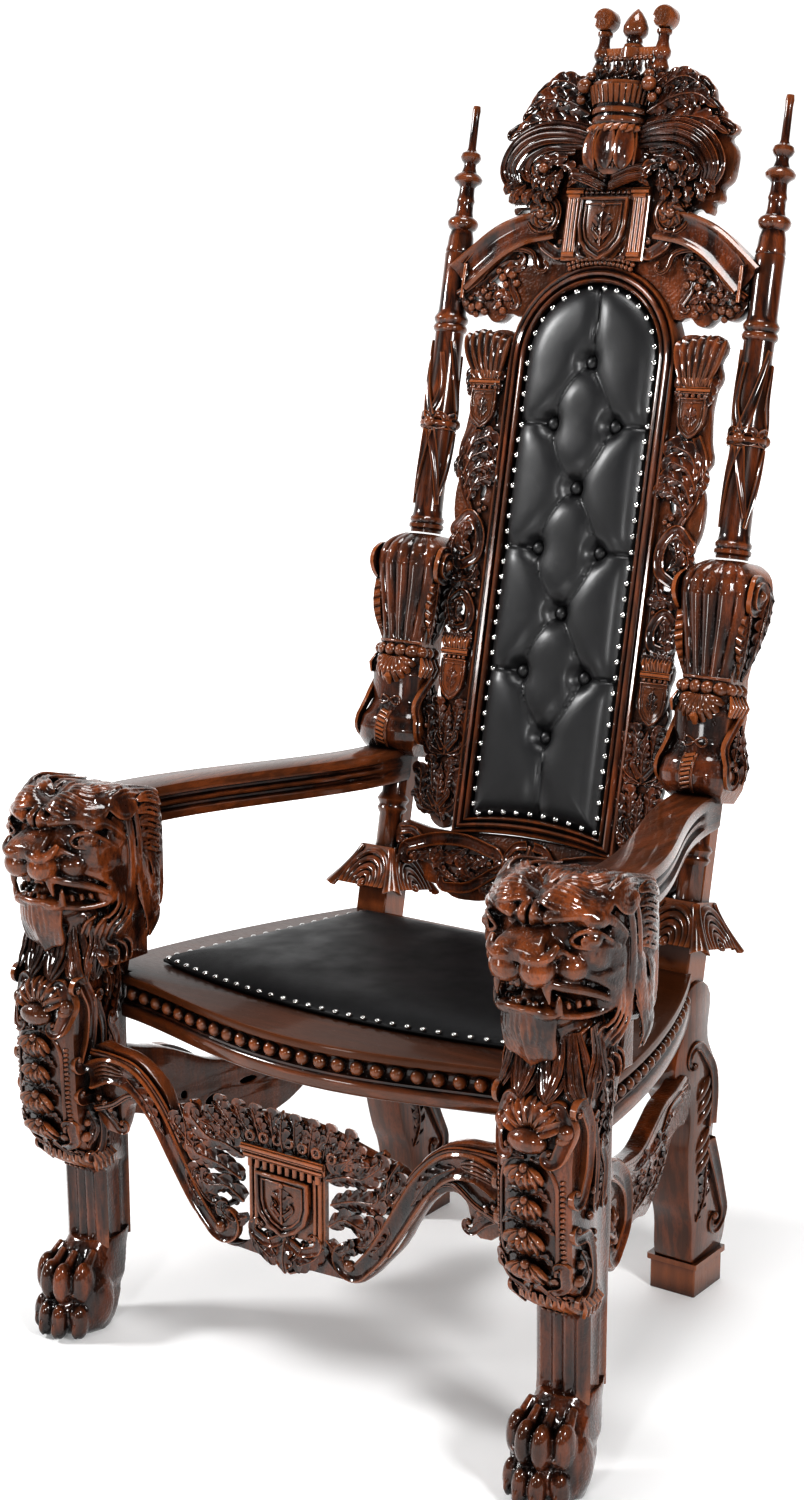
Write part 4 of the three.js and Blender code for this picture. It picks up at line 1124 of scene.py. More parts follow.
seat_cushion = finished("seat_cushion", [moved(seat_pad(), upright)], seat_leather, ["seat_pad"],
                        angle=80)
edge_line = even_steps([(x * 0.985, y * 0.985 - 0.5) for x, y in pad_outline()], 22)
nails("seat_nails", [(x, y, SEAT_TOP + 8.6) for x, y in edge_line], 4.8, upright)

# %% [markdown]
# Carving on a turned column is drawn flat, as distance round the column and height, and is
# then wrapped. The columns carry ribbons tied in a knot, with a raised ring below it.

# %% Upper columns
COLUMN_PROFILE = [
    (23, 1073.6), (23, 1078), (26, 1081), (26, 1086), (23.5, 1088), (25.5, 1091), (25.5, 1095),
    (22.5, 1099), (21.5, 1108), (21, 1150), (22.5, 1200), (22.5, 1290), (21, 1350), (21.5, 1371),
    (24.5, 1374), (25.5, 1378), (24, 1382), (22, 1384), (25, 1388), (25.5, 1392), (23.5, 1396),
    (21.5, 1399), (20.5, 1405), (20.5, 1470), (21, 1487), (20, 1489), (21, 1492), (19.5, 1498),
    (18.5, 1512), (17, 1518), (16, 1522), (20, 1525), (22.5, 1530), (23, 1534), (20.5, 1539), (14, 1543),
    (12.5, 1550), (12, 1562), (13.5, 1566), (12.5, 1570), (11.5, 1575), (11, 1586), (14, 1590), (20, 1594),
    (21.3, 1599), (18, 1604), (11.5, 1608), (9, 1616), (9, 1621), (13, 1625), (15.4, 1630), (13.5, 1636),
    (7.5, 1640), (6, 1644), (5.4, 1690), (6.2, 1699), (5.2, 1706),
]


def wrapped(radius):
    """Drawn flat as distance round a column, height and relief."""
    def place(points):
        along, height, relief = points.T
        angle = along / radius - math.pi / 2
        reach = radius + relief
        return raked(np.stack([POST_X + reach * np.cos(angle), reach * np.sin(angle), height], 1))
    return place


def column_ribbons():
    strokes = ribbon_stroke("rib", [(x, 1236) for x in np.linspace(-69, 70, 40)], 9, 9, 0)
    for turn in (-46, 0, 46):
        for foot, middle, top, width in (
            ((2, 1246), (13, 1290), (27, 1358), 8), ((-2, 1246), (-12, 1288), (-6, 1340), 7),
            ((-2, 1226), (-12, 1186), (-24, 1116), 7), ((2, 1226), (9, 1180), (20, 1130), 7),
        ):
            line = smooth_line([(turn + x, z) for x, z in (foot, middle, top)])
            strokes += ribbon_stroke("band", line, width, width * 0.45, 0)
        for side in (-1, 1):
            loop = circle(turn + side * 11, 1240, side * 10, 9, 16)
            strokes += ribbon_stroke("band", loop, 4.5, 4.5, 2)
        strokes += bead(turn, 1237, 8.5, 2)
    return strokes


def upper_column():
    shaft = offset(turned(COLUMN_PROFILE, 36), POST_X)
    return [moved(shaft, raked), moved(carve(column_ribbons()), wrapped(22))]


twins("column", upper_column(), tall_wood, "upper_column", angle=35)

# %% [markdown]
# The bracket between arm and column is one tall block. Its half width and its reach are a
# table down its height, and the same table places the carving on its front and its sides.

# %% Corbels
CORBEL = np.array([
    (741, 38, 20), (752, 44, 44), (762, 49, 52), (778, 51, 56), (795, 49, 53), (806, 44, 45), (820, 40, 39),
    (845, 41, 42), (862, 42, 45), (880, 38, 39), (888, 38, 39), (904, 37, 39), (912, 36, 40), (950, 41, 46),
    (1000, 48, 53), (1024, 52, 57), (1040, 52, 56), (1052, 49, 51), (1061, 43, 42), (1068, 33, 31),
    (1073, 22, 21),
])


def corbel_at(z):
    return np.interp(z, CORBEL[:, 0], CORBEL[:, 1]), np.interp(z, CORBEL[:, 0], CORBEL[:, 2])


def corbel_depth(reach, u):
    """The front is rounded: u is 0 in its middle and 1 at its sides."""
    return -reach * (1 - 0.3 * u ** 2.6)


def corbel_front(points):
    """Drawn flat as x from the column's middle, height and relief, onto the front face."""
    x, z, relief = points.T
    half, reach = corbel_at(z)
    depth = corbel_depth(reach, np.clip(np.abs(x / half), 0, 1.1))
    return raked(np.stack([POST_X + x, depth - relief, z], 1))


def corbel_side(side):
    def place(points):
        y, z, relief = points.T
        half = corbel_at(z)[0]
        return raked(np.stack([POST_X + side * (half + relief), y, z], 1))
    return place


def corbel_body():
    rings = []
    for z in np.concatenate([np.arange(742, 906, 3.0), np.arange(906, 1073.1, 3.0)]):
        half, reach = corbel_at(z)
        t = np.clip((z - 906) / 20, 0, 1) * np.clip((1076 - z) / 18, 0.35, 1)
        ring = []
        for u in np.linspace(-1, 1, 45):
            wave = math.cos(math.pi * 2.5 * u * (1 - 0.12 * math.cos(z / 40)))
            flute = 6.5 * t * (1 - abs(wave) ** 0.55)
            ring.append((POST_X + u * half, corbel_depth(reach, abs(u)) + flute, z))
        back = 25 if z < 1004 else 34
        ring += [(POST_X + half * 0.98, back, z), (POST_X - half * 0.98, back, z)]
        rings.append(ring)
    return loft(rings)


def corbel_strokes():
    strokes = []
    for x in (-27, -9, 9, 27):
        strokes += bead(x, 896, 10.5, 0)
    strokes += ribbon_stroke("round", [(x, 909) for x in np.linspace(-36, 36, 9)], 3, 3, 0)
    for angle in np.radians(np.linspace(198, 342, 9)):
        tip = np.array([34 * math.cos(angle), 888 + 40 * math.sin(angle)])
        line = smooth_line([(tip[0] * 0.3, 886, 4), (tip[0] * 0.75, (886 + tip[1]) / 2, 7), (*tip, 1)], 4)
        strokes += stroke("ridge", line, 5.6, taper=(0.4, 0.6))
    strokes += stroke("round", [(0, 866, 6), (0, 856, 9), (0, 846, 4)], 7, taper=(0.5, 0.5))
    bow = [(17 * math.sin(a), 822 + 6 * math.sin(2 * a)) for a in np.linspace(0, 2 * math.pi, 40)]
    strokes += ribbon_stroke("round", bow, 2.2, 2.2, 0)
    for x in (-8.5, 8.5):
        strokes += ribbon_stroke("round", [(x, z) for z in np.linspace(752, 806, 14)], 2.4, 2.4, 0.5)
    for z in np.arange(756, 804, 6.5):
        strokes += ribbon_stroke("round", [(-7, z), (7, z + 4)], 2.9, 2.9, 0.5)
    return strokes


def corbel_side_strokes():
    """A volute like a rolled ribbon at the top, and a long leaf that falls from it."""
    strokes = []
    for radius, lift in ((20, 5), (12, 9)):
        ring = circle(-22, 1026, radius, radius * 1.1, 26)
        strokes += ribbon_stroke("band", ring, 6.5, 6.5, lift)
    strokes += bead(-22, 1026, 9, 9)
    for row in (
        ([(-4, 1050), (8, 1020), (6, 960), (-6, 910)], 20, 3, 6),
        ([(-30, 1004), (-28, 960), (-18, 912)], 13, 4, 6),
        ([(16, 1040), (24, 1000), (22, 950)], 12, 1, 5),
    ):
        strokes += leaf(*row)
    for y in (-26, -10, 6):
        strokes += bead(y, 896, 9.5, -1)
    for y in (-30, -20, -10, 0, 10):
        strokes += stroke("ridge", [(y, 888, 2), (y - 1, 874, 6), (y - 2, 860, 1)], 6,
                          taper=(0.4, 0.6))
    strokes += scroll([(-4, 862), (-34, 820), (-40, 790)], 7, 24, 5.4, 2, "band", 0.4, 18)
    strokes += leaf([(8, 770), (14, 810), (6, 850)], 14, 2, 5)
    strokes += leaf([(-14, 800), (-4, 822), (-8, 850)], 10, 2, 4)
    return strokes


corbel_bodies = [moved(corbel_body(), raked), moved(carve(corbel_strokes()), corbel_front)]
for side in (1, -1):
    corbel_bodies.append(moved(carve(corbel_side_strokes()), corbel_side(side)))
twins("corbel_carved", corbel_bodies, carved_wood, "corbel")

# %% [markdown]
# A rear post changes from bottom to top: a scrolled leg sawn from a board, a square block,
# a skirt of drooping leaves, a slim turned column in front and a plain stile behind it.

# %% Rear posts
LEG_OUTLINE = [
    (178, 470), (176, 420), (160, 396), (155, 350), (176, 329), (196, 306), (204, 231), (220, 150),
    (232, 118), (241, 62), (250, 40), (252, 1), (318, 1), (320, 40), (332, 70), (331, 100), (316, 124),
    (292, 174), (272, 212), (270, 300), (263, 350), (240, 396), (236, 470),
]


def leg_side(side):
    def place(points):
        y, z, relief = points.T
        lean = np.maximum(0, 300 - z) * 0.06
        return upright(np.stack([POST_X + side * relief - lean, y, np.maximum(z, 0.4)], 1))
    return place


def leg_strokes():
    face = 30
    strokes = scroll([(258, 262), (256, 340), (224, 384)], 10, 24, 4.6, face, "band", 0.4)
    for z, y in ((324, 232), (306, 236), (288, 239), (246, 240), (228, 243), (210, 247)):
        strokes += stroke("ridge", smooth_line([(y - 18, z - 18), (y, z), (y + 18, z + 14)]), 8, face,
                          taper=(0.1, 0.1))
    strokes += leaf([(240, 118), (256, 150), (252, 196)], 17, face, 4, (12, -2.6))
    strokes += scroll([(256, 236), (288, 178), (318, 118)], 12, 24, -5.0, face, "band", 0.4)
    return strokes


CAPITAL_TOP = 604


def capital_half(z):
    """Half the width of the leafy skirt, which flares downwards."""
    fall = np.minimum((CAPITAL_TOP - z) / 59, 1.1)
    return 27 + 31 * fall ** 1.4


def capital_face(turn):
    def place(points):
        x, z, relief = points.T
        lip = -capital_half(np.minimum(z, CAPITAL_TOP)) - relief
        c, s = math.cos(turn), math.sin(turn)
        return raked(np.stack([POST_X + x * c - lip * s, x * s + lip * c, z], 1))
    return place


def capital_strokes():
    strokes = []
    for radius in (13, 22, 31, 40):
        line = circle(0, 546, radius * 0.92, radius * 1.25, 18, end=math.pi)
        strokes += ribbon_stroke("ridge", line, 4.8, 4.8, 1.0)
    for side in (-1, 1):
        line = smooth_line([(side * 24, 602), (side * 36, 574), (side * 52, 542)])
        strokes += ribbon_stroke("ridge", line, 4, 8, 0)
    strokes += bead(0, 549, 7, 1)
    return strokes


def capital_core():
    rings = []
    square = ((-1, -1), (0, -1), (1, -1), (1, 0), (1, 1), (0, 1), (-1, 1), (-1, 0))
    for z in (CAPITAL_TOP, 596, 585, 572, 560, 550, 545):
        half = capital_half(z)
        rings.append([(POST_X + half * x, half * y, z) for x, y in square])
    return loft(rings)


def bar(low, high):
    """A straight square bar with soft edges, between two corners in the back's own frame."""
    (x0, y0, z0), (x1, y1, z1) = low, high
    corners = [(x0 + 2, y0), (x1 - 2, y0), (x1, y0 + 2), (x1, y1 - 2), (x1 - 2, y1), (x0 + 2, y1),
               (x0, y1 - 2), (x0, y0 + 2)]
    return loft([[(x, y, z) for x, y in corners] for z in (z0, z1)])


def rear_post():
    board = plate(LEG_OUTLINE, [], -31, 31, 3, 5)
    lower = turned([(18.5, 596), (18.5, 652), (20.5, 655), (23, 660), (20.5, 665), (21, 668), (24.5, 674),
                    (21, 680), (18.5, 684), (18.5, 740)], 28)
    bodies = [moved(board, leg_side(1)), moved(offset(lower, POST_X), raked)]
    bodies += [moved(carve(leg_strokes()), leg_side(side)) for side in (1, -1)]
    for grow, low, high in ((0, 0.4, 48), (4, 44, 52)):
        bodies.append(moved(bar((202 - grow, 243 - grow, low), (274 + grow, 325 + grow, high)), upright))
    bodies.append(moved(bar((229, -26, 455), (281, 26, 560)), raked))
    bodies.append(moved(bar((235, -1, 590), (275, 25, 1004)), raked))
    bodies.append(moved(capital_core(), raked))
    bodies += [moved(carve(capital_strokes()), capital_face(turn * math.pi / 2)) for turn in range(4)]
    return bodies


twins("post", rear_post(), tall_wood, "rear_post", angle=40)

# %% [markdown]
# Each front leg ends in a lion's head. The head is built like a clay model: balls and rolls
# are laid over a skull, and locks of hair are bundles of thin rolls. Then the heap is fused
# into one skin, as a carver would find it in one block.

# %% Lion head: helpers
HEAD_MIDDLE = np.array([0.0, -300.0, 690.0])
CHEEK_HALF = 78


def roll(points, radii, steps=6):
    """A round roll through points in space, with a radius for each point."""
    rows = [(*point, radius) for point, radius in zip(points, radii)]
    return [("round", smooth_line(rows, steps))]


def both(strokes):
    """Strokes and their mirror images."""
    return strokes + mirrored(strokes)


def lock(points, width, strands):
    """A combed lock of hair: thin rolls that lie side by side over the head and draw together."""
    line = smooth_line(points, 6)
    t = np.linspace(0, 1, len(line))
    ahead = np.gradient(line, axis=0)
    across = np.cross(ahead, line - HEAD_MIDDLE)
    across /= np.linalg.norm(across, axis=1, keepdims=True)
    base = 0.35 * (1 - t) + 0.3 * t
    spread = width * (base + (1 - base) * np.sin(math.pi * t) ** 0.7)
    strokes = []
    for k in np.linspace(-0.5, 0.5, strands):
        bulge = (line - HEAD_MIDDLE) / np.linalg.norm(line - HEAD_MIDDLE, axis=1, keepdims=True)
        path = line + across * (k * spread)[:, None] + bulge * ((0.25 - k * k) * 0.5 * spread)[:, None]
        strokes.append(("round", np.column_stack([path, spread / strands * 0.52])))
    return strokes


def lumps(places):
    """The clay's balls, from (x, y, z, x radius, y radius, z radius)."""
    return spheres(places, 28, 16)


def fused(bodies, voxel, smooth):
    """Joins closed bodies into one skin."""
    select_only(*bodies)
    if len(bodies) > 1:
        bpy.ops.object.join()
    made = bpy.context.object
    skin = made.modifiers.new("skin", "REMESH")
    skin.mode = "VOXEL"
    skin.voxel_size = voxel
    soften = made.modifiers.new("soften", "SMOOTH")
    soften.factor = 0.5
    soften.iterations = smooth
    bpy.ops.object.modifier_apply(modifier="skin")
    bpy.ops.object.modifier_apply(modifier="soften")
    return made


def twin_lumps(places):
    return places + [(-x, *rest) for x, *rest in places]


test_line = [(0, -350, 760), (40, -370, 760), (80, -330, 756)]
print("a lock of hair has", len(lock(test_line, 30, 5)), "rolls")

# %% [markdown]
# The skull carries a broad flat nose, two round lips, heavy cheeks and an open jaw. Around
# the face runs a plain band, and behind it the mane.

# %% Lion head: face
def face_lumps():
    masses = [(0, -292, 690, 84, 66, 84), (0, -336, 742, 60, 38, 24), (0, -330, 716, 66, 54, 40)]
    masses += [(0, -362, 702, 44, 45, 28), (0, -352, 621, 44, 36, 19), (0, -328, 608, 52, 46, 24)]
    masses += [(0, -290, 586, 62, 56, 56)]
    pairs = [
        (50, -336, 700, 35, 34, 30), (55, -344, 740, 27, 25, 15), (43, -362, 685, 24, 26, 20),
        (20, -400, 685, 22, 21, 20), (31, -387, 705, 14, 14, 9),
        (11, -377, 741, 11, 12, 10), (29, -376, 745, 13, 12, 10), (48, -365, 746, 14, 12, 9),
        (60, -314, 641, 21, 24, 21), (22, -388, 632, 20, 12, 9), (76, -312, 690, 15, 26, 62),
    ]
    return lumps(masses + twin_lumps(pairs))


def nose():
    """The flat bridge: a wedge that widens to the nose tip."""
    rings = []
    for y, z, half, drop in ((-340, 746, 20, 22), (-366, 737, 24, 26), (-392, 726, 28, 26),
                             (-408, 718, 32, 22), (-417, 711, 31, 16)):
        rings.append([(-half, y, z - drop), (half, y, z - drop), (half + 1, y, z - 8),
                      (half - 4, y, z - 1.5), (0, y, z + 0.5), (-half + 4, y, z - 1.5),
                      (-half - 1, y, z - 8)])
    return loft(rings)


def face_strokes():
    strokes = []
    for points, radii in (
        # nose wings, and the long ridge from each wing along the cheek to the eye's outer corner
        ([(9, -415, 702), (24, -415, 700), (38, -406, 704), (43, -393, 715)], [4, 6, 6.5, 4]),
        ([(40, -390, 710), (54, -372, 699), (72, -346, 692), (86, -320, 698), (92, -304, 716)],
         [3.5, 3.5, 3.5, 3.5, 4]),
        ([(62, -358, 683), (77, -336, 675), (90, -310, 680)], [4, 8, 4]),
        # the arch of the brow
        ([(20, -384, 739), (38, -381, 745), (60, -364, 747), (81, -334, 738), (92, -306, 716)],
         [6, 7, 7, 6.5, 5]),
        ([(5, -386, 732), (8, -388, 745), (5, -374, 757)], [4, 6, 5]),
        # two lids round the eye, and the ring of its pupil
        ([(48, -375, 717), (59, -375, 728), (71, -363, 730), (82, -343, 719), (91, -319, 703)],
         [2.5, 3.0, 3.0, 2.8, 2]),
        ([(48, -375, 717), (58, -374, 712), (70, -363, 710), (81, -344, 708), (91, -319, 703)],
         [2.5, 2.8, 2.8, 2.5, 2]),
    ):
        strokes += roll(points, radii)
    pupil = [(67 + 5.0 * math.cos(a), -369.5 + 3.8 * math.cos(a), 719 + 5.0 * math.sin(a))
             for a in np.linspace(0, 2 * math.pi, 11)]
    strokes += roll(pupil, [1.5] * 11, 2)
    for points, radii in (
        # upper lip edge and the side of the lip down to the mouth's corner
        ([(28, -402, 673), (44, -386, 666), (61, -358, 657), (73, -334, 646), (78, -318, 636)],
         [5, 6, 6, 5, 3]),
        ([(54, -364, 682), (70, -344, 672), (81, -324, 657), (81, -312, 642)], [9, 9, 7, 3]),
        # lower lip
        ([(-2, -400, 635), (20, -397, 635), (37, -386, 631), (53, -360, 626), (68, -332, 628),
          (78, -316, 636)], [4.5, 4.5, 4.5, 4.2, 4.2, 3]),
    ):
        strokes += roll(points, radii)
    # folds behind the mouth's corner
    for index in range(4):
        reach = 8.5 * index
        strokes += roll([(76, -324 + reach, 664 + reach * 0.6), (84 + index * 0.6, -316 + reach, 648),
                         (83 + index * 0.6, -316 + reach, 627 - reach * 0.6),
                         (70, -328 + reach * 0.6, 607 - reach)], [2.2, 3.6, 3.6, 2])
    # teeth: upper row, lower row and fangs
    for x, y in ((7, -396), (16, -395), (46, -374), (53, -362), (59, -350), (65, -338)):
        strokes += roll([(x, y, 670), (x, y - 1, 660)], [4.2, 3.6])
        strokes += roll([(x * 0.97, y + 4, 636), (x * 0.97, y + 2, 645)], [4, 3.4])
    for points, radii in (
        ([(30, -398, 674), (33, -399, 662), (35, -396, 646)], [6.5, 5, 1.5]),
        ([(41, -385, 632), (42, -387, 646), (42, -387, 656)], [5.5, 4, 1.5]),
        # the plain band that frames the face, with a groove along it
        ([(84, -304, 760), (93, -296, 730), (94, -291, 696), (91, -290, 660), (84, -292, 616)],
         [6, 7, 7, 7, 5]),
        ([(86, -286, 762), (94, -280, 730), (95, -276, 696), (92, -274, 666)], [4, 5, 5, 4]),
    ):
        strokes += roll(points, radii)
    strokes = both(strokes)
    # tongue and the beard's combed strands
    strokes += roll([(0, -352, 640), (0, -378, 646), (0, -391, 642)], [15, 12, 6])
    for x in np.arange(-35, 36, 7.0):
        side = abs(x) / 35
        sway = 3 * math.sin(x)
        strokes += roll([(x, -397 + 15 * side ** 2, 632), (x * 0.98 + sway, -396 + 12 * side, 606),
                         (x * 0.84 - sway, -385 + 8 * side, 580), (x * 0.6, -376, 560 + 12 * side)],
                        [3.4, 3.9, 3.9, 1.5])
    return strokes


def mane_strokes():
    strokes = []
    # two big combed waves that meet over the brow, and a smaller one beside each
    for line, width, strands in (
        ([(3, -350, 758), (18, -370, 767), (40, -371, 764), (60, -356, 753), (80, -330, 756)], 34, 6),
        ([(58, -334, 766), (78, -320, 764), (91, -302, 750), (95, -280, 756)], 26, 5),
        ([(10, -344, 766), (28, -342, 775), (48, -328, 770), (60, -310, 773), (70, -280, 766)], 28, 5),
    ):
        strokes += lock(line, width, strands)
    # waves swept back over the top
    for x in (9, 30, 52, 73):
        strokes += lock([(x, -330, 765), (x + 5, -300, 771), (x - 4, -266, 765), (x + 2, -226, 762)], 25, 4)
    # the side: thick ribs between deep slashes above, locks that sweep down below
    for index in range(5):
        z = 757 - 16 * index
        rib = [(86, -276, z + 3), (92, -258, z + 5), (92, -240, z - 2), (86, -226, z - 10)]
        strokes += lock(rib, 15, 3)
    for index in range(6):
        z = 690 - 13 * index
        y = -282 + 2.5 * index
        strokes += lock([(88, y - 6, z + 8), (95, y + 8, z - 12), (90, y + 16, z - 36),
                         (84 - 2 * index, y + 14, z - 60)], 19, 4)
    for index in range(4):
        z = 660 - 22 * index
        strokes += lock([(86, -250, z + 20), (91, -242, z), (84, -238 - 6 * index, z - 26)], 18, 4)
    # locks that fall from under the jaw
    for angle in np.radians(np.linspace(14, 112, 7)):
        x, y = 60 * math.sin(angle), -292 - 58 * math.cos(angle)
        strokes += lock([(x * 0.92, y + 6, 618), (x * 1.1 + 3, y - 8, 596), (x - 2, y - 6, 570),
                         (x * 1.12 + 4, y - 12, 540)], 24, 4)
    return both(strokes)


def mane_block():
    rings = []
    for y, half, low, high in ((-300, 78, 600, 758), (-280, 84, 590, 762), (-250, 88, 585, 763),
                               (-224, 88, 585, 763)):
        ring = []
        for a in np.linspace(0, 2 * math.pi, 28, False):
            c, s = math.cos(a), math.sin(a)
            x = half * abs(c) ** 0.55 * (1 if c > 0 else -1)
            z = (low + high) / 2 + (high - low) / 2 * abs(s) ** 0.55 * (1 if s > 0 else -1)
            ring.append((x, y, z))
        rings.append(ring)
    neck = [[(x * 52, y, z) for x, y in ((-1, -320), (1, -320), (1, -226), (-1, -226))] for z in (530, 610)]
    return [loft(rings), loft(neck)]


def eyeballs():
    """A ball between the lids, one on each side."""
    return lumps(twin_lumps([(67, -358, 719, 12.5, 12.5, 9)]))


def head_mesh():
    bodies = [face_lumps(), nose(), *mane_block(), carve(face_strokes()), carve(mane_strokes()), eyeballs()]
    return fused(bodies, voxel=1.6, smooth=1)


def set_head(points):
    """Fits the clay head on its leg: a little lower, not so far forward, its mane drawn in."""
    out = points[:, 0] - HEAD_X
    beyond = np.maximum(np.abs(out) - CHEEK_HALF, 0)
    out = np.sign(out) * (np.minimum(np.abs(out), CHEEK_HALF) + 0.42 * beyond)
    return upright(np.stack([HEAD_X + out, points[:, 1] * 0.955 - 10, points[:, 2] - 6], 1))


head = moved(offset(head_mesh(), HEAD_X), set_head)
twins("lion_head", [head], lion_wood, angle=60)

# %% [markdown]
# Below the head the leg swells into a carved cartouche: a shell over a large boss, then a
# chain of drooping flowers between scrolls. Under it a fluted shank stands on a paw. A
# table of heights gives the half width in front, the reach forward and the half width behind.

# %% Front leg
LEG_TABLE = np.array([
    (100, 38, 314, 28), (130, 38, 312, 28), (228, 38, 314, 28), (240, 41, 326, 28), (262, 45, 344, 28),
    (285, 48, 362, 29), (310, 50, 376, 30), (350, 51, 382, 30), (440, 51, 384, 30), (470, 50, 380, 31),
    (500, 51, 372, 36), (524, 53, 366, 41), (549, 55, 350, 44), (575, 55, 345, 46),
])
LEG_REAR = -241.0
LEG_ROUNDING = 14


def leg_at(z):
    return [np.interp(z, LEG_TABLE[:, 0], LEG_TABLE[:, column]) for column in (1, 2, 3)]


def leg_half(y, z):
    """Half the leg's width at a depth: full in front, narrower behind."""
    half, front, rear = leg_at(z)
    corner = front - LEG_ROUNDING
    t = np.clip((y + corner) / (corner + LEG_REAR) * 1.25 - 0.2, 0, 1)
    return half + (rear - half) * t * t * (3 - 2 * t)


def leg_front(points):
    """Drawn flat as x from the leg's middle, height and relief, onto the rounded front."""
    x, z, relief = points.T
    half, front, _ = leg_at(z)
    u = np.clip(np.abs(x) / half, 0, 1.15)
    return upright(np.stack([LEG_X + x, -front + LEG_ROUNDING * u ** 4 - relief, z], 1))


def leg_flank(side):
    """Drawn flat as depth, height and relief, onto one side of the leg."""
    def place(points):
        y, z, relief = points.T
        return upright(np.stack([LEG_X + side * (leg_half(y, z) + relief), y, z], 1))
    return place


def leg_core():
    rings = []
    for z in np.arange(114, 576, 7.0):
        half, front, rear = leg_at(z)
        shank = np.clip((232 - z) / 8, 0, 1)
        ring = []
        for u in np.linspace(-1, 1, 31):
            scoop = np.clip((z - 114 - 14 * abs(u)) / 12, 0, 1) ** 0.5
            channel = 10 * max(0.0, 1 - (abs(u) / 0.66) ** 5) * scoop
            ridge = 5 * max(0.0, 1 - (abs(abs(u) - 0.2) / 0.16) ** 2) * scoop
            cut = shank * (channel - ridge)
            ring.append((u * half, -front + LEG_ROUNDING * abs(u) ** 4 + cut, z))
        for side in (1, -1):
            for t in np.linspace(0.05, 0.97, 17)[::side]:
                y = LEG_ROUNDING - front + (front - LEG_ROUNDING + LEG_REAR) * t
                flute = (4.5 * shank + 1.5) * abs(math.sin(math.pi * 2 * t)) ** 0.5
                ring.append((side * (leg_half(y, z) - flute), y, z))
            if side == 1:
                ring += [(rear - 2, LEG_REAR, z), (-rear + 2, LEG_REAR, z)]
        rings.append(ring)
    return offset(loft(rings), LEG_X)


def bell_flower(z, size):
    """A drooping flower: a bead over five hanging petals, with a small leaf on each side."""
    strokes = []
    for angle in np.radians((215, 242, 270, 298, 325)):
        c, s = math.cos(angle), math.sin(angle)
        line = [(3 * c, z, 4), (size * c, z + size * 0.5 * s, size * 0.55),
                (size * 1.1 * c, z + size * 1.25 * s, 3)]
        strokes += stroke("finger", smooth_line(line, 4), size * 0.42, taper=(0.35, 0.7))
    strokes += bead(0, z + 2, size * 0.32, size * 0.42)
    side_leaf = [(5, z + size * 0.5), (size, z + size * 0.7), (size * 1.7, z + size * 0.2)]
    strokes += both(leaf(side_leaf, 7, 1, 4))
    return strokes


def leg_front_strokes():
    strokes = fan((0, 476), 42, 25, 155, 7, 1, 9)
    for z, size in ((437, 20), (397, 18), (357, 21), (316, 21)):
        strokes += bell_flower(z, size)
    # bordered panel with a row of small beads, and volutes at its corners
    border = smooth_line([(4, 449, 1), (24, 443, 1), (36, 424, 1), (38, 396, 1), (38, 340, 1),
                          (33, 306, 1)], 6)
    side = ribbon_stroke("round", border, 2.8, 2.6)
    for z in np.arange(320, 428, 6.6):
        side += bead(43.5, z, 2.9, 1)
    side += double_scroll([(38, 508), (46, 484), (40, 456)], 8, (9, 4.8), (10, -4.8), 3)
    side += double_scroll([(46, 314), (40, 288), (22, 278)], 5, (7, 4.6), (6, 4.6), 3)
    side += scroll([(8, 286), (18, 268), (30, 262)], 5, 8, 4.4, 3)
    side += bead(30, 298, 6, 2) + bead(42, 478, 9, 2) + bead(16, 262, 4, 2)
    strokes += both(side)
    for x in np.linspace(-40, 40, 9):
        strokes += stroke("finger", [(x, 266, 2), (x, 254, 8), (x, 240, 1)], 6.5, taper=(0.4, 0.7))
    for x in (-14, -5, 5, 14):
        strokes += bead(x, 234, 3.6, 2)
    # tufts of hair that fall from the chin
    for x, lean in ((-44, -5), (-27, 4), (-9, -4), (9, 4), (27, -4), (44, 5)):
        line = [(x * 0.8, 596), (x * 0.95, 566), (x + lean, 538), (x + lean * 3, 514)]
        strokes += bundle(line, 21, 4, "lock", 6, 10, (0.7, 0.15))
    return strokes


def leg_flank_strokes():
    long_scroll = [(-352, 512), (-336, 478), (-340, 436), (-352, 404)]
    strokes = double_scroll(long_scroll, 10, (10, 4.8), (10, -4.8), 0)
    strokes += double_scroll([(-324, 480), (-308, 438), (-316, 384)], 8, (9, -4.6), (9, 4.6), 0)
    low_scroll = [(-358, 352), (-332, 346), (-316, 306), (-320, 272), (-334, 262)]
    strokes += double_scroll(low_scroll, 8, (8, -4.4), (6, -4.4), 0)
    strokes += leaf([(-348, 334), (-336, 306), (-346, 280)], 12, 0, 5)
    for y, z, radius in ((-350, 318, 6), (-352, 298, 8), (-330, 372, 6), (-322, 400, 5)):
        strokes += bead(y, z, radius, 2)
    for z in np.arange(252, 350, 10.0):
        strokes += bead(-303 + 4 * math.sin(z / 30), z, 4, 1)
    strokes += leaf([(-304, 524), (-292, 496), (-302, 462)], 13, 1, 5)
    strokes += leaf([(-272, 520), (-264, 490), (-274, 452)], 13, 1, 5, (8, -3))
    strokes += double_scroll([(-286, 440), (-270, 410), (-276, 372)], 7, (8, -4.6), (8, 4.6), 0)
    strokes += leaf([(-290, 370), (-282, 396), (-290, 430)], 9, 0, 4)
    for y in np.linspace(-334, -300, 5):
        strokes += stroke("finger", [(y, 266, 2), (y + 5, 254, 6), (y + 16, 238, 0)], 6.5,
                          taper=(0.4, 0.7))
    for index, y in enumerate((-334, -318, -302, -286, -270)):
        sway = 5 * (-1) ** index
        line = [(y, 606), (y + sway, 570), (y - sway, 540), (y + sway, 512)]
        strokes += bundle(line, 18, 4, "lock", 1, 5, (0.7, 0.15))
    return strokes


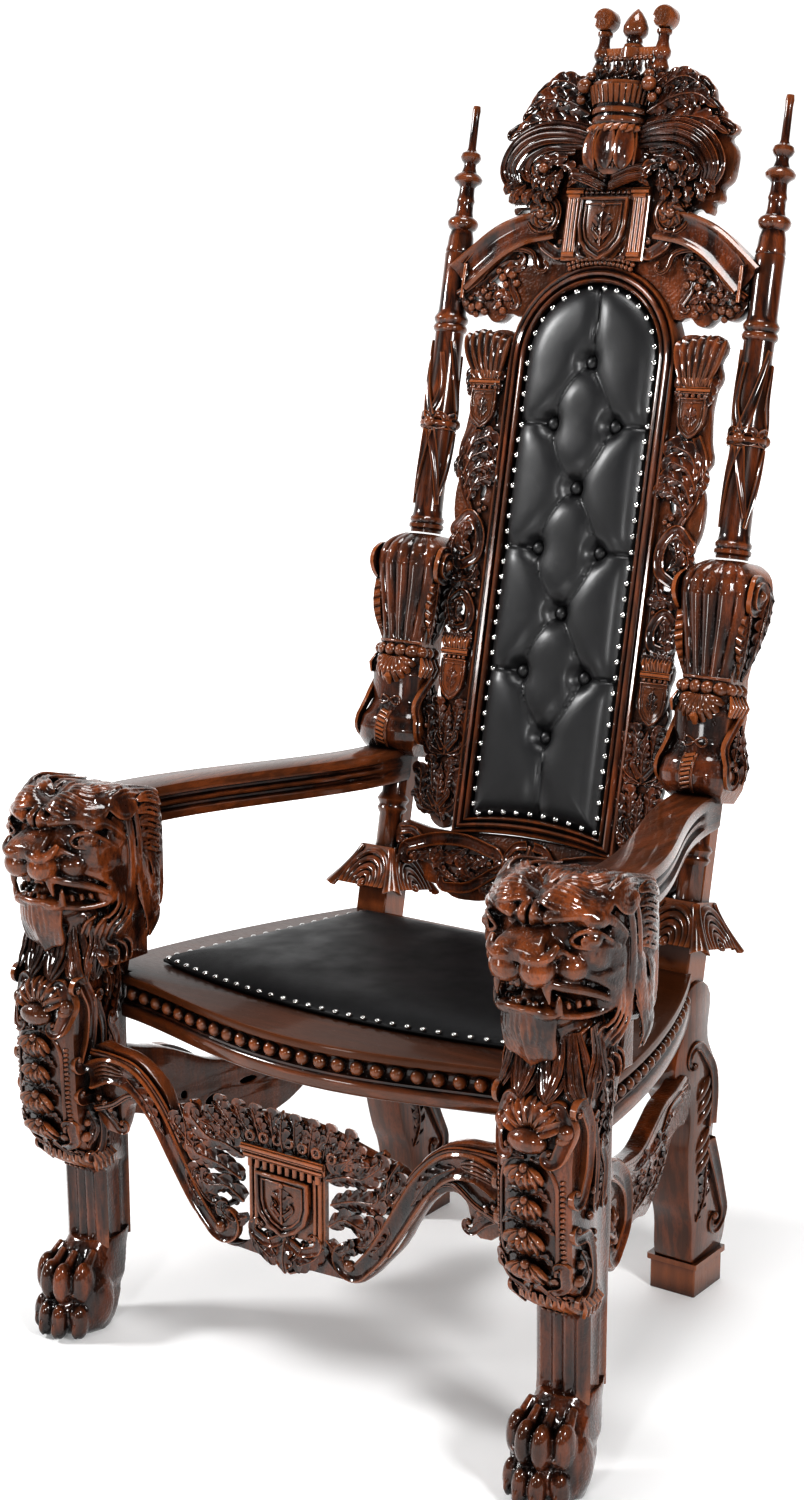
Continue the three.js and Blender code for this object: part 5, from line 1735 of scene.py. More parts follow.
def boss():
    return lumps([(0, -386, 470, 26, 14, 15), (41, -371, 484, 11, 11, 11), (-41, -371, 484, 11, 11, 11)])


def paw():
    """A compact paw: four toes side by side, a knuckle and a nail on each."""
    heights = [0, 8, 22, 40, 51, 66, 84, 102, 126]
    rings = []
    for z in np.arange(0, 127, 3.0):
        half = np.interp(z, heights, [40, 44, 46, 46, 43, 46, 43, 39, 37])
        front = np.interp(z, heights, [350, 364, 374, 374, 362, 372, 358, 334, 315])
        depth = np.interp(z, [0, 95, 118], [13, 11, 0])
        ring = []
        for u in np.linspace(-1, 1, 65):
            toe = abs(math.sin(2 * math.pi * u)) ** 0.55
            y = -front - 6 * math.cos(u * 1.5) + 26 * abs(u) ** 3 + depth * (1 - toe)
            ring.append((u * half, y, z))
        heel = -288 + 45 * z / 126
        side = [(half - 11 * t ** 2, -front + 32 + (heel + front - 32) * t, z)
                for t in np.linspace(0, 1, 9)]
        rings.append(ring + side + [(-x, y, z) for x, y, z in side[::-1]])
    strokes = []
    places = []
    for x, reach in ((-34, -366), (-11.5, -382), (11.5, -382), (34, -366)):
        places += [(x, reach + 9, 25, 11.5, 13, 25), (x * 0.98, reach + 20, 78, 12.5, 19, 30)]
        strokes += roll([(x * 0.95, reach + 26, 96), (x * 0.86, reach + 46, 116)], [8, 5])
        strokes += roll([(x, reach - 1, 24), (x, reach - 3, 14), (x, reach, 4)], [5, 4.5, 2.5])
    places += [(side * 40, -322, 46, 12, 26, 38) for side in (-1, 1)]
    body = fused([loft(rings), lumps(places), carve(strokes)], voxel=1.8, smooth=3)
    bpy.ops.mesh.primitive_cube_add(size=200, location=(0, -330, -99.2))
    under = bpy.context.object
    sole = body.modifiers.new("sole", "BOOLEAN")
    sole.operation = "DIFFERENCE"
    sole.object = under
    select_only(body)
    bpy.ops.object.modifier_apply(modifier="sole")
    bpy.data.objects.remove(under)
    return offset(body, LEG_X)


leg_bodies = [moved(leg_core(), upright), moved(carve(leg_front_strokes()), leg_front)]
leg_bodies += [moved(carve(leg_flank_strokes()), leg_flank(side)) for side in (1, -1)]
leg_bodies += [moved(offset(boss(), LEG_X), upright), moved(paw(), upright)]
twins("front_leg_carved", leg_bodies, carved_wood, "front_leg")

# %% [markdown]
# The crest is drawn flat and stood up on the raked back. A pierced board carries it. On
# the board lie rails, rolls of acanthus, a panel with a shield, and a crown over a cup.

# %% Helpers for flat carving
def sprays(root, tips, width, lift, rise):
    """Fingers that leave one root for several tips, bending all to the same side."""
    strokes = []
    for x, y in tips:
        dx, dy = x - root[0], y - root[1]
        middle = (root[0] + dx * 0.55 - dy * 0.25, root[1] + dy * 0.55 + dx * 0.25)
        line = smooth_line([(*root, lift), (*middle, lift + rise), (x, y, lift)], 6)
        strokes += stroke("finger", line, width, taper=(0.35, 0.5))
    return strokes


def half_outline(half):
    """A closed outline from its right half, listed from the bottom middle to the top middle."""
    return half + [(-x, y) for x, y in reversed(half) if x > 0]


def shield_rim(x, top, half, height, corner):
    right = [(0, 0), *corner, (1, -0.45), (0.86, -0.7), (0.5, -0.88), (0, -1)]
    rim = [(x + across * half, top + up * height) for across, up in right]
    return rim + [(2 * x - a, b) for a, b in rim[-2:0:-1]]


def shield(x, top, half, height, lift):
    """A shield's double border and a small spray of leaves."""
    rim = shield_rim(x, top, half, height, [(1, 0)])
    closed = [*rim, rim[0]]
    centre = np.array([x, top - height * 0.45])
    inner = [tuple(centre + (np.array(point) - centre) * 0.8) for point in closed]
    strokes = ribbon_stroke("round", closed, half * 0.085, half * 0.085, lift)
    strokes += ribbon_stroke("round", inner, half * 0.05, half * 0.05, lift)
    cx, cy = centre
    spray = [(cx, cy - height * 0.34), (cx, cy), (cx, cy + height * 0.26)]
    strokes += leaf(spray, half * 0.5, lift - 1, 2.4)
    strokes += shifted(both(scroll([(half * 0.1, -height * 0.22), (half * 0.36, -height * 0.1)],
                                   half * 0.09, half * 0.14, 4.6, lift)), cx, cy)
    strokes += bead(cx, cy + height * 0.34, half * 0.1, lift + 1)
    return strokes


def shield_board(x, top, half, height, low, high):
    return plate(shield_rim(x, top, half, height, [(0.97, 0), (1, -0.03)]), [], low, high, 1.5, 3)


def slab(x, low, high, half, bottom, top):
    """A rectangular block with soft edges: relief from bottom to top."""
    rings = []
    for inset, height in ((0, bottom), (0, top - 1.5), (1.5, top)):
        rings.append([(x - half + inset, low + inset, height), (x + half - inset, low + inset, height),
                      (x + half - inset, high - inset, height), (x - half + inset, high - inset, height)])
    return loft(rings)


def drum(radius, middle, squash):
    """Carving drawn flat as distance round, height and relief, wrapped on an upright half drum."""
    def place(points):
        along, height, relief = points.T
        angle = along / radius
        depth = middle + (radius + relief) * np.cos(angle) * squash
        return raked(np.stack([(radius + relief) * np.sin(angle), -depth, height], 1))
    return place


print("a shield has", len(shield(0, 0, 20, 54, 15)), "strokes")

# %% [markdown]
# The outline of the crest's board runs along the arch, up the rails' ends and round the
# pointed tips of the leaves.

# %% Crest: board, rails and panel
COLUMN_SIDE = POST_X - 22.0
ROSETTE = (106, 1542)


def crest_board():
    half = circle(0, ARCH_MIDDLE, 138.6, 138.6, 8, math.radians(90), math.radians(27))
    half += [(150, 1402), (162, 1392), (174, 1390), (184, 1398), (194, 1405), (206, 1400), (218, 1400),
             (COLUMN_SIDE, 1418), (COLUMN_SIDE, 1440), (COLUMN_SIDE, 1468), (206, 1502), (176, 1522),
             (140, 1536), (128, 1546), (146, 1552), (158, 1546), (160, 1560), (172, 1564), (170, 1580),
             (182, 1592), (185, 1610), (184, 1632), (172, 1650), (182, 1662), (170, 1670), (158, 1672),
             (158, 1686), (144, 1690), (140, 1708), (134, 1722), (120, 1722), (110, 1740), (98, 1742),
             (88, 1732), (70, 1738), (60, 1712), (30, 1704), (0, 1704)]
    holes = []
    for side in (-1, 1):
        holes += [oval(side * 178, 1444, 15, 8, side * -0.5), oval(side * 150, 1424, 8, 6),
                  oval(side * 208, 1424, 8, 7)]
    return plate(half_outline(half), holes, -9, 10, 2, 3)


def rail_strokes():
    strokes = []
    line = smooth_line([(236, 1450), (206, 1476), (172, 1502), (132, 1520), (84, 1528)], 8)
    strokes += ribbon_stroke("band", line, 25, 21, 9)
    top_edge = smooth_line([(234, 1472), (206, 1502), (174, 1524), (134, 1540)], 8)
    strokes += ribbon_stroke("rib", top_edge, 5, 4, 20)
    low_edge = [(236, 1426), (206, 1446), (184, 1470), (152, 1492), (118, 1488), (108, 1468)]
    low_edge = wound(smooth_line(low_edge, 8), 12, -4.4, 12)
    strokes += ribbon_stroke("rib", low_edge, 5.5, 2.5, 17)
    strokes += ribbon_stroke("round", [(226, 1420), (226, 1470)], 3, 3, 22)
    # berries and small scrolls in the openwork
    for x, z, r in ((190, 1402, 6), (200, 1410, 7), (212, 1408, 7), (222, 1414, 6), (204, 1398, 5),
                    (216, 1422, 5), (158, 1404, 6), (166, 1412, 6), (164, 1452, 7), (172, 1462, 6),
                    (158, 1442, 6), (148, 1456, 7), (140, 1444, 6), (186, 1424, 6), (194, 1432, 6)):
        strokes += bead(x, z, r, 12)
    strokes += double_scroll([(142, 1472), (162, 1470), (186, 1452)], 6, (9, -4.4), (9, -4.4), 10)
    for row in (
        ([(128, 1470), (150, 1466), (164, 1448)], 10, 10, 5),
        ([(182, 1462), (196, 1446), (226, 1436)], 10, 10, 5),
        ([(146, 1420), (162, 1428), (180, 1422)], 8, 10, 5),
        ([(190, 1418), (206, 1430), (226, 1424)], 7, 10, 5),
    ):
        strokes += leaf(*row)
    strokes += double_scroll([(136, 1420), (146, 1436), (150, 1450)], 5, (8, 4.4), (8, -4.4), 10)
    strokes += scroll([(176, 1408), (168, 1420), (172, 1434)], 6, 10, -4.6, 10)
    # small roll beside the panel's foot
    strokes += double_scroll([(80, 1488), (98, 1500), (104, 1518)], 9, (14, -4.6), (12, 4.6), 13)
    # spiral rosette over the rail
    for radius, lift in ((25, 16), (15, 19)):
        ring = circle(*ROSETTE, radius, radius, 24, 0.4, 6.4)
        strokes += ribbon_stroke("rib", ring, 6, 4, lift)
    strokes += sprays(ROSETTE, circle(*ROSETTE, 19, 19, 7, end=5.4), 5, 18, 5)
    strokes += bead(*ROSETTE, 8, 22)
    return both(strokes)


def panel_strokes():
    strokes = []
    for x in (46, 53, 60):
        strokes += ribbon_stroke("round", [(x, 1488), (x, 1564)], 3.2, 3.2, 21)
    for z in (1485, 1567):
        strokes += ribbon_stroke("round", [(43, z), (63, z)], 4, 4, 21)
    strokes += ribbon_stroke("rib", [(39, 1573), (67, 1573)], 6, 6, 20)
    strokes += leaf([(24, 1480), (36, 1486), (40, 1502)], 8, 19, 4)
    strokes = both(strokes)
    for x in np.arange(-34, 35, 8.5):
        strokes += bead(x, 1572, 4.2, 20)
    for z in (1476, 1469):
        radius = z - ARCH_MIDDLE + 5
        for angle in np.radians(np.arange(69, 112, 3.0)):
            strokes += bead(radius * math.cos(angle), ARCH_MIDDLE + radius * math.sin(angle), 4, 17)
    strokes += shield(0, 1562, 36, 84, 28)
    return strokes


def feather_strokes():
    """Two rows of feathers that meet in a V between the panel and the cup."""
    strokes = []
    for row in (0, 1):
        for index in range(4):
            foot, reach = 1578 + 12 * row, 20 + 13 * index
            line = [(3, foot + index, 24 - 5 * row), (reach * 0.6, foot + 3 + 3 * index, 31 - 5 * row),
                    (reach + 8, foot + 14 + 2 * index, 22 - 5 * row)]
            strokes += stroke("lock", smooth_line(line, 6), 6.5, taper=(0.4, 0.3))
    return both(strokes)


print("strokes on the rails:", len(rail_strokes()), "and the panel:", len(panel_strokes()))

# %% [markdown]
# On each side a big roll of acanthus curls outwards under rising leaves. Its back is combed
# with fine flutes, and gouged fingers hang inside it and below it.

# %% Crest: rolls of acanthus
def roll_strokes():
    strokes = []
    back = [(34, 1646), (72, 1652), (112, 1650), (146, 1634), (164, 1606), (156, 1582)]
    strokes += bundle(back, 36, 5, "lock", 22, 18, (0.55, 0.5))
    inner = [(60, 1632), (96, 1634), (124, 1622), (134, 1602), (120, 1590)]
    strokes += bundle(inner, 20, 3, "lock", 24, 8, (0.4, 0.4))
    strokes += leaf([(70, 1622), (96, 1618), (116, 1604), (112, 1590)], 13, 24, 8)
    strokes += bead(106, 1606, 8, 30)
    # leaves that hang inside the roll and under it
    for root, tip in (((112, 1612), (142, 1606)), ((108, 1606), (140, 1590)), ((100, 1604), (124, 1578)),
                      ((90, 1604), (104, 1572)), ((80, 1606), (84, 1572)), ((150, 1604), (172, 1592)),
                      ((148, 1592), (170, 1570)), ((138, 1584), (154, 1558)), ((122, 1580), (132, 1556)),
                      ((104, 1578), (112, 1556)), ((86, 1580), (92, 1560))):
        middle = ((root[0] + tip[0]) / 2 + 4, (root[1] + tip[1]) / 2 - 1)
        strokes += leaf([root, middle, tip], 9, 20, 9)
    strokes += leaf([(84, 1612), (66, 1608), (56, 1592), (66, 1580)], 10, 22, 7)
    # rising leaves with curling tips
    for points, width, lift in (
        ([(44, 1668), (92, 1676), (140, 1672), (176, 1652)], 18, 14),
        ([(46, 1684), (84, 1702), (124, 1706), (154, 1688)], 19, 16),
        ([(48, 1696), (72, 1722), (102, 1732), (134, 1716)], 16, 13),
        ([(54, 1696), (58, 1722), (78, 1740)], 12, 14),
    ):
        strokes += leaf(points, width, lift, 10)
    for points in ([(140, 1668), (162, 1672), (180, 1664)], [(120, 1698), (142, 1700), (158, 1688)],
                   [(104, 1722), (124, 1730), (140, 1718)], [(78, 1736), (92, 1744), (108, 1738)]):
        strokes += scroll(points, 5.5, 7, -4.4, 12, "lock")
    strokes += scroll([(92, 1660), (116, 1684), (104, 1706)], 6, 10, 4.6, 22, "lock")
    return both(strokes)


print("strokes in the acanthus rolls:", len(roll_strokes()))

# %% [markdown]
# In the middle stands a gadrooned cup. It carries a crown: plain bands, a flaring fluted
# band, a row of curls, and two turned posts with a bar and an orb between them.

# %% Crest: cup and crown
def cup_strokes():
    strokes = []
    for k in range(-2, 3):
        x = 24 * k
        petal = [(x, 1656, 0), (x, 1638, 5), (x, 1618, 4), (x, 1602, -3)]
        strokes += stroke("band", smooth_line(petal, 6), 12.5, taper=(0.75, 0.12))
        strokes += stroke("round", [(x + 12, 1630, 1), (x + 12, 1612, 1), (x + 12, 1603, -2)], 4,
                          taper=(0.4, 0.3))
        strokes += stroke("round", [(x + 12, 1652, 4), (x + 12, 1640, 6)], 2.2, taper=(0.6, 0.4))
    for x in np.arange(-60, 61, 10.0):
        strokes += stroke("round", [(x - 6, 1654, 3), (x, 1659, 7), (x + 6, 1664, 3)], 5,
                          taper=(0.5, 0.5))
    for x in np.arange(-63, 64, 7.0):
        strokes += stroke("round", [(x, 1694, 5), (x, 1706, 8), (x, 1719, 13)], 3.4, taper=(0.7, 0.9))
    return strokes


def crown_strokes():
    strokes = []
    for k in range(-2, 3):
        x = 17 * k
        low = 26 - abs(k) * 6
        strokes += scroll([(x - 6, 1722), (x - 7, 1734), (x, 1740)], 4.5, 6, -4.6, low, "lock")
        strokes += scroll([(x + 6, 1722), (x + 7, 1732), (x + 2, 1738)], 4.5, 5, 4.6, low - 2, "lock")
        strokes += leaf([(x, 1720), (x, 1734), (x, 1750)], 8, low - 4, 4)
        strokes += leaf([(x, 1742), (x, 1754), (x, 1768)], 7, 9, 4)
    for side in (-1, 1):
        for x, z, radius, lift in ((52, 1720, 11, 34), (57, 1702, 7.5, 30), (47, 1734, 8, 28),
                                   (62, 1712, 6, 24)):
            strokes += bead(side * x, z, radius, lift)
    for x in np.arange(-36, 37, 8.0):
        strokes += bead(x, 1763, 4.4, 11)
    return strokes


def crown_bodies():
    bodies = []
    core = turned([(30, 1596), (40, 1608), (44, 1632), (43, 1652), (48, 1655), (50, 1659), (48, 1664),
                   (52, 1667), (53, 1671), (52, 1675), (47, 1676), (47, 1679), (53, 1680), (54.5, 1684),
                   (53, 1688), (48, 1690), (49, 1695), (54, 1708), (60, 1720), (58, 1724), (30, 1726)], 40)
    core.data.transform(Matrix.Diagonal((0.82, 0.68, 1, 1)))
    bodies.append(offset(core, 0, -10))
    ring = [(13, 1778), (15, 1780), (14, 1784), (11, 1786), (12, 1790), (11, 1794), (15, 1797), (18, 1802),
            (18, 1810), (14, 1820), (7, 1830), (0.5, 1836)]
    bodies.append(turned(ring, 20))
    bodies.append(turned([(12, 1742), (13, 1760), (17, 1764), (17, 1778), (14, 1780)], 24))
    for side in (-1, 1):
        post = turned([(10, 1696), (10, 1722), (12, 1726), (10, 1730), (9, 1742), (12, 1746), (13, 1751),
                       (11, 1756), (9, 1762), (12.5, 1768), (13, 1774), (10, 1780), (8, 1788), (8, 1796),
                       (11, 1799), (11, 1803), (8, 1806), (9, 1816)], 20)
        bodies.append(offset(post, side * 48, -2))
        knob = turned([(9, -16), (14, -15), (16.4, -11), (16.4, 8), (14.5, 12), (9, 13)], 24)
        knob.data.transform(Matrix.Rotation(math.pi / 2, 4, "X"))
        bodies.append(offset(knob, side * 48, -3, 1820.5))
    bodies.append(bar((-50, -9, 1766), (50, 7, 1779)))
    return bodies


crest_bodies = [crest_board(), slab(0, 1476, 1580, 67, 0, 20), shield_board(0, 1562, 36, 84, 19, 27)]
flat_carving = rail_strokes() + panel_strokes() + feather_strokes() + roll_strokes() + crown_strokes()
crest_bodies.append(carve(flat_carving))
crest_bodies = [moved(body, on_back) for body in crest_bodies]
crest_bodies += [moved(body, raked) for body in crown_bodies()]
crest_bodies.append(moved(carve(cup_strokes()), drum(38, 10, 0.78)))
finished("crest_carved", crest_bodies, carved_wood, ["crest"])

# %% [markdown]
# A tall strip of openwork stands beside the pad on each side. From the top: a plume, a
# curl, a crown over a shield, a spiral scroll, a second crown and shield, and two pairs of
# curling fronds.

# %% Side carvings
STRIP_INNER = FRAME_HALF - 1.5


def strip_board():
    right = [(150, 648), (172, 650), (184, 668), (192, 700), (186, 718), (194, 744), (187, 772), (192, 800),
             (184, 826), (190, 850), (182, 880), (188, 912), (180, 930), (187, 952), (188, 990),
             (180, 1020), (190, 1044), (186, 1072), (198, 1092), (204, 1124), (200, 1160), (190, 1180),
             (206, 1202), (200, 1230), (198, 1300), (206, 1320), (200, 1340), (208, 1362), (194, 1376),
             (178, 1372), (160, 1376), (STRIP_INNER + 2, 1370)]
    left = [(STRIP_INNER, z) for z in np.linspace(1350, 670, 12)]
    holes = [oval(172, 966, 8, 13), oval(162, 1026, 10, 6), oval(178, 1040, 7, 5), oval(172, 1090, 10, 8),
             oval(158, 1140, 6, 12, 0.2), oval(180, 1192, 8, 9), oval(156, 1196, 6, 10),
             oval(160, 1318, 7, 6), oval(170, 800, 5, 9), oval(170, 722, 5, 8), oval(158, 940, 6, 5),
             oval(186, 1316, 5, 6), oval(150, 1250, 4, 12), oval(152, 870, 4, 10)]
    return plate(left + right, holes, -7, 7, 2, 3)


def small_crown(x, z, half):
    """A bar, a row of beads and five points over a shield."""
    strokes = ribbon_stroke("rib", [(x - half * 1.15, z), (x + half * 1.15, z)], 4.6, 4.6, 14)
    for k in range(-2, 3):
        strokes += bead(x + k * half * 0.42, z - 8, half * 0.16, 14)
        strokes += stroke("finger", [(x + k * half * 0.4, z + 4, 12), (x + k * half * 0.46, z + 15, 15),
                                     (x + k * half * 0.52, z + 26, 11)], half * 0.27, taper=(0.6, 0.3))
    return strokes


def frond_pair(x, z, size):
    """Curling fronds that spring from one point, mirrored about x, with a bud between them."""
    strokes = []
    for side in (-1, 1):
        for (a, b), (c, d), width, curl in (
            ((0.36, 0.2), (0.42, 0.66), 0.17, 3.6), ((0.14, 0.4), (0.2, 0.86), 0.13, 3.2),
            ((0.3, 0.02), (0.44, 0.22), 0.11, 2.6),
        ):
            line = [(x + side * 2, z), (x + side * size * a, z + size * b),
                    (x + side * size * c, z + size * d)]
            strokes += leaf(line, size * width, 8, 7, (size * 0.12, -side * curl))
        line = [(x + side * 3, z + size * 0.1), (x + side * size * 0.2, z + size * 0.3)]
        strokes += scroll(line, size * 0.06, size * 0.1, side * 4.4, 12)
    strokes += leaf([(x, z), (x, z + size * 0.5), (x, z + size * 0.92)], size * 0.12, 11, 5)
    return strokes


def strip_strokes():
    strokes = []
    # plume: upright fingers that roll forward at the top
    for index, x in enumerate(np.linspace(148, 198, 6)):
        lean = (x - 166) * 0.25
        top = 1374 - 3 * abs(index - 3)
        line = [(165 + (x - 165) * 0.4, 1296, 9), (x, 1334, 17), (x + lean, top - 8, 16), (x + lean, top, 8)]
        strokes += stroke("finger", smooth_line(line, 6), 8.4, taper=(0.5, 0.75))
    strokes += leaf([(160, 1328), (150, 1316), (152, 1294)], 10, 11, 5, (6, 2))
    strokes += leaf([(188, 1328), (198, 1312), (194, 1290)], 10, 11, 5, (6, -2))
    # crown and shield, then a leaf that curls off a long stem
    strokes += small_crown(172, 1300, 23)
    strokes += shield(172, 1288, 20, 54, 15)
    stem = smooth_line([(184, 1236), (199, 1200), (192, 1150), (174, 1112)])
    strokes += ribbon_stroke("band", stem, 6.5, 4, 9)
    for x, z, width in ((192, 1186, 15), (192, 1164, 15), (188, 1144, 13), (180, 1126, 11)):
        strokes += leaf([(x, z), (x - 12, z + 24), (x - 34, z + 34)], width, 10, 7, (10, 3.4))
    strokes += leaf([(170, 1236), (158, 1222), (148, 1200)], 11, 9, 5)
    strokes += leaf([(198, 1196), (203, 1176), (196, 1150)], 9, 8, 5)
    # two scrolls shaped like a six, each with a leaf inside and leaves between them
    six = [(194, 1088), (172, 1106), (151, 1082), (152, 1048), (170, 1034)]
    strokes += double_scroll(six, 8, (8, -4.2), (13, 4.8), 9)
    for row in (
        ([(164, 1050), (178, 1062), (176, 1080)], 12, 10, 6, (8, 2.4)),
        ([(190, 1080), (197, 1058), (188, 1030)], 11, 9, 6, (7, -2.4)),
        ([(150, 1034), (158, 1014), (178, 1006)], 11, 9, 6, (7, 2.4)),
        ([(186, 1028), (174, 1012), (152, 1006)], 10, 9, 6, (7, -2.4)),
    ):
        strokes += leaf(*row)
    six = [(188, 976), (168, 990), (151, 968), (154, 944), (168, 938)]
    strokes += double_scroll(six, 7, (7, -4.2), (11, 4.8), 9)
    strokes += leaf([(186, 1000), (192, 978), (184, 950)], 10, 9, 6, (7, -2.4))
    strokes += leaf([(164, 950), (174, 958), (174, 970)], 9, 10, 5, (6, 2.4))
    for x, z in ((160, 1122), (150, 1116), (158, 1112), (150, 990), (156, 998)):
        strokes += bead(x, z, 4.5, 9)
    # second crown and shield
    for x, lean in ((152, -8), (160, -4), (168, 0), (176, 4), (184, 8)):
        strokes += leaf([(x, 904), (x + lean * 0.3, 920), (x + lean, 938)], 8, 10, 5)
    strokes += small_crown(168, 904, 20)
    strokes += shield(168, 892, 20, 58, 15)
    strokes += frond_pair(166, 752, 80)
    strokes += frond_pair(168, 668, 78)
    strokes += leaf([(156, 654), (160, 668), (168, 684)], 12, 9, 5)
    return strokes


strip = [strip_board(), shield_board(172, 1288, 20, 54, 5, 15), shield_board(168, 892, 20, 58, 5, 15),
         carve(strip_strokes())]
twins("side_carving_carved", [moved(body, on_back) for body in strip], carved_wood, "side_carving")

# %% [markdown]
# Under the pad's frame a pierced board of scrolls and leaves fills the gap between the posts.

# %% Carving below the back
def base_board():
    half = [(0, 580), (24, 578), (48, 562), (70, 552), (96, 548), (126, 549), (150, 562), (174, 566),
            (184, 584), (206, 598), (234, 612), (234, 639), (180, 640), (138, 640), (100, 643.5),
            (60, 646.5), (30, 648), (0, 648.5)]
    holes = []
    for side in (-1, 1):
        holes += [oval(side * 44, 606, 14, 8, side * 0.3), oval(side * 168, 606, 12, 7),
                  oval(side * 104, 600, 10, 8), oval(side * 76, 574, 7, 5), oval(side * 136, 576, 7, 5)]
    return plate(half_outline(half), holes, -7, 7, 2, 3)


def base_strokes():
    strokes = double_scroll([(60, 622), (110, 632), (160, 628), (208, 612)], 10, (15, 4.6), (14, -4.4), 9)
    strokes += double_scroll([(20, 612), (56, 592), (96, 566), (134, 560)], 8, (10, 4.4), (13, 4.8), 9)
    strokes += scroll([(226, 632), (206, 634), (186, 622)], 7, 10, 4.4, 9)
    for points, width, curl in (
        ([(62, 622), (84, 606), (110, 600)], 11, (7, 2.8)),
        ([(106, 624), (132, 606), (156, 602)], 11, (7, 2.8)),
        ([(150, 624), (172, 606), (192, 600)], 10, (6, 2.8)),
        ([(30, 604), (44, 584), (66, 570)], 10, (6, 2.6)),
        ([(62, 586), (86, 580), (108, 584)], 9, (6, -2.8)),
        ([(112, 566), (134, 574), (150, 586)], 9, (6, -2.8)),
        ([(190, 614), (206, 612), (222, 616)], 8, (5, 2.4)),
        ([(14, 626), (34, 616), (50, 604)], 9, (5, -2.6)),
    ):
        strokes += leaf(points, width, 8, 6, curl)
    strokes = both(strokes)
    strokes += leaf([(0, 640), (0, 612), (0, 578)], 20, 10, 8)
    strokes += both(scroll([(6, 640), (24, 636), (36, 624)], 7, 10, -4.6, 10))
    return strokes


base = [base_board(), carve(base_strokes())]
finished("base_carving_carved", [moved(body, on_back) for body in base], carved_wood, ["base_carving"])

# %% [markdown]
# The front stretcher hangs between the lions: two long arms that end in volutes, pierced
# acanthus between them, and a panel with a shield under a crown of leaves.

# %% Front stretcher
STRETCHER_FACE = -338.0


def on_stretcher(points):
    x, z, relief = points.T
    return upright(np.stack([x, STRETCHER_FACE - relief, z], 1))


def stretcher_board():
    half = [(0, 185), (18, 206), (38, 230), (56, 222), (70, 210), (84, 202), (98, 200), (112, 204),
            (126, 214), (146, 236), (172, 266), (200, 314), (224, 344), (252, 360), (272, 352), (280, 330),
            (292, 310), (325.5, 332), (325.5, 423), (292, 423), (262, 420), (232, 406), (208, 384),
            (188, 352), (172, 362), (152, 366), (124, 372), (90, 380), (48, 388), (0, 391)]
    holes = []
    for side in (-1, 1):
        holes += [oval(side * 94, 290, 8, 9), oval(side * 118, 306, 8, 9), oval(side * 24, 230, 6, 6),
                  oval(side * 104, 252, 7, 7), oval(side * 140, 300, 8, 7), oval(side * 92, 330, 5, 7),
                  oval(side * 30, 376, 5, 7), oval(side * 60, 376, 5, 7), oval(0, 376, 4, 7),
                  oval(side * 116, 356, 6, 6), oval(side * 126, 262, 6, 5)]
    return plate(half_outline(half), holes, -20, 0, 3, 3)


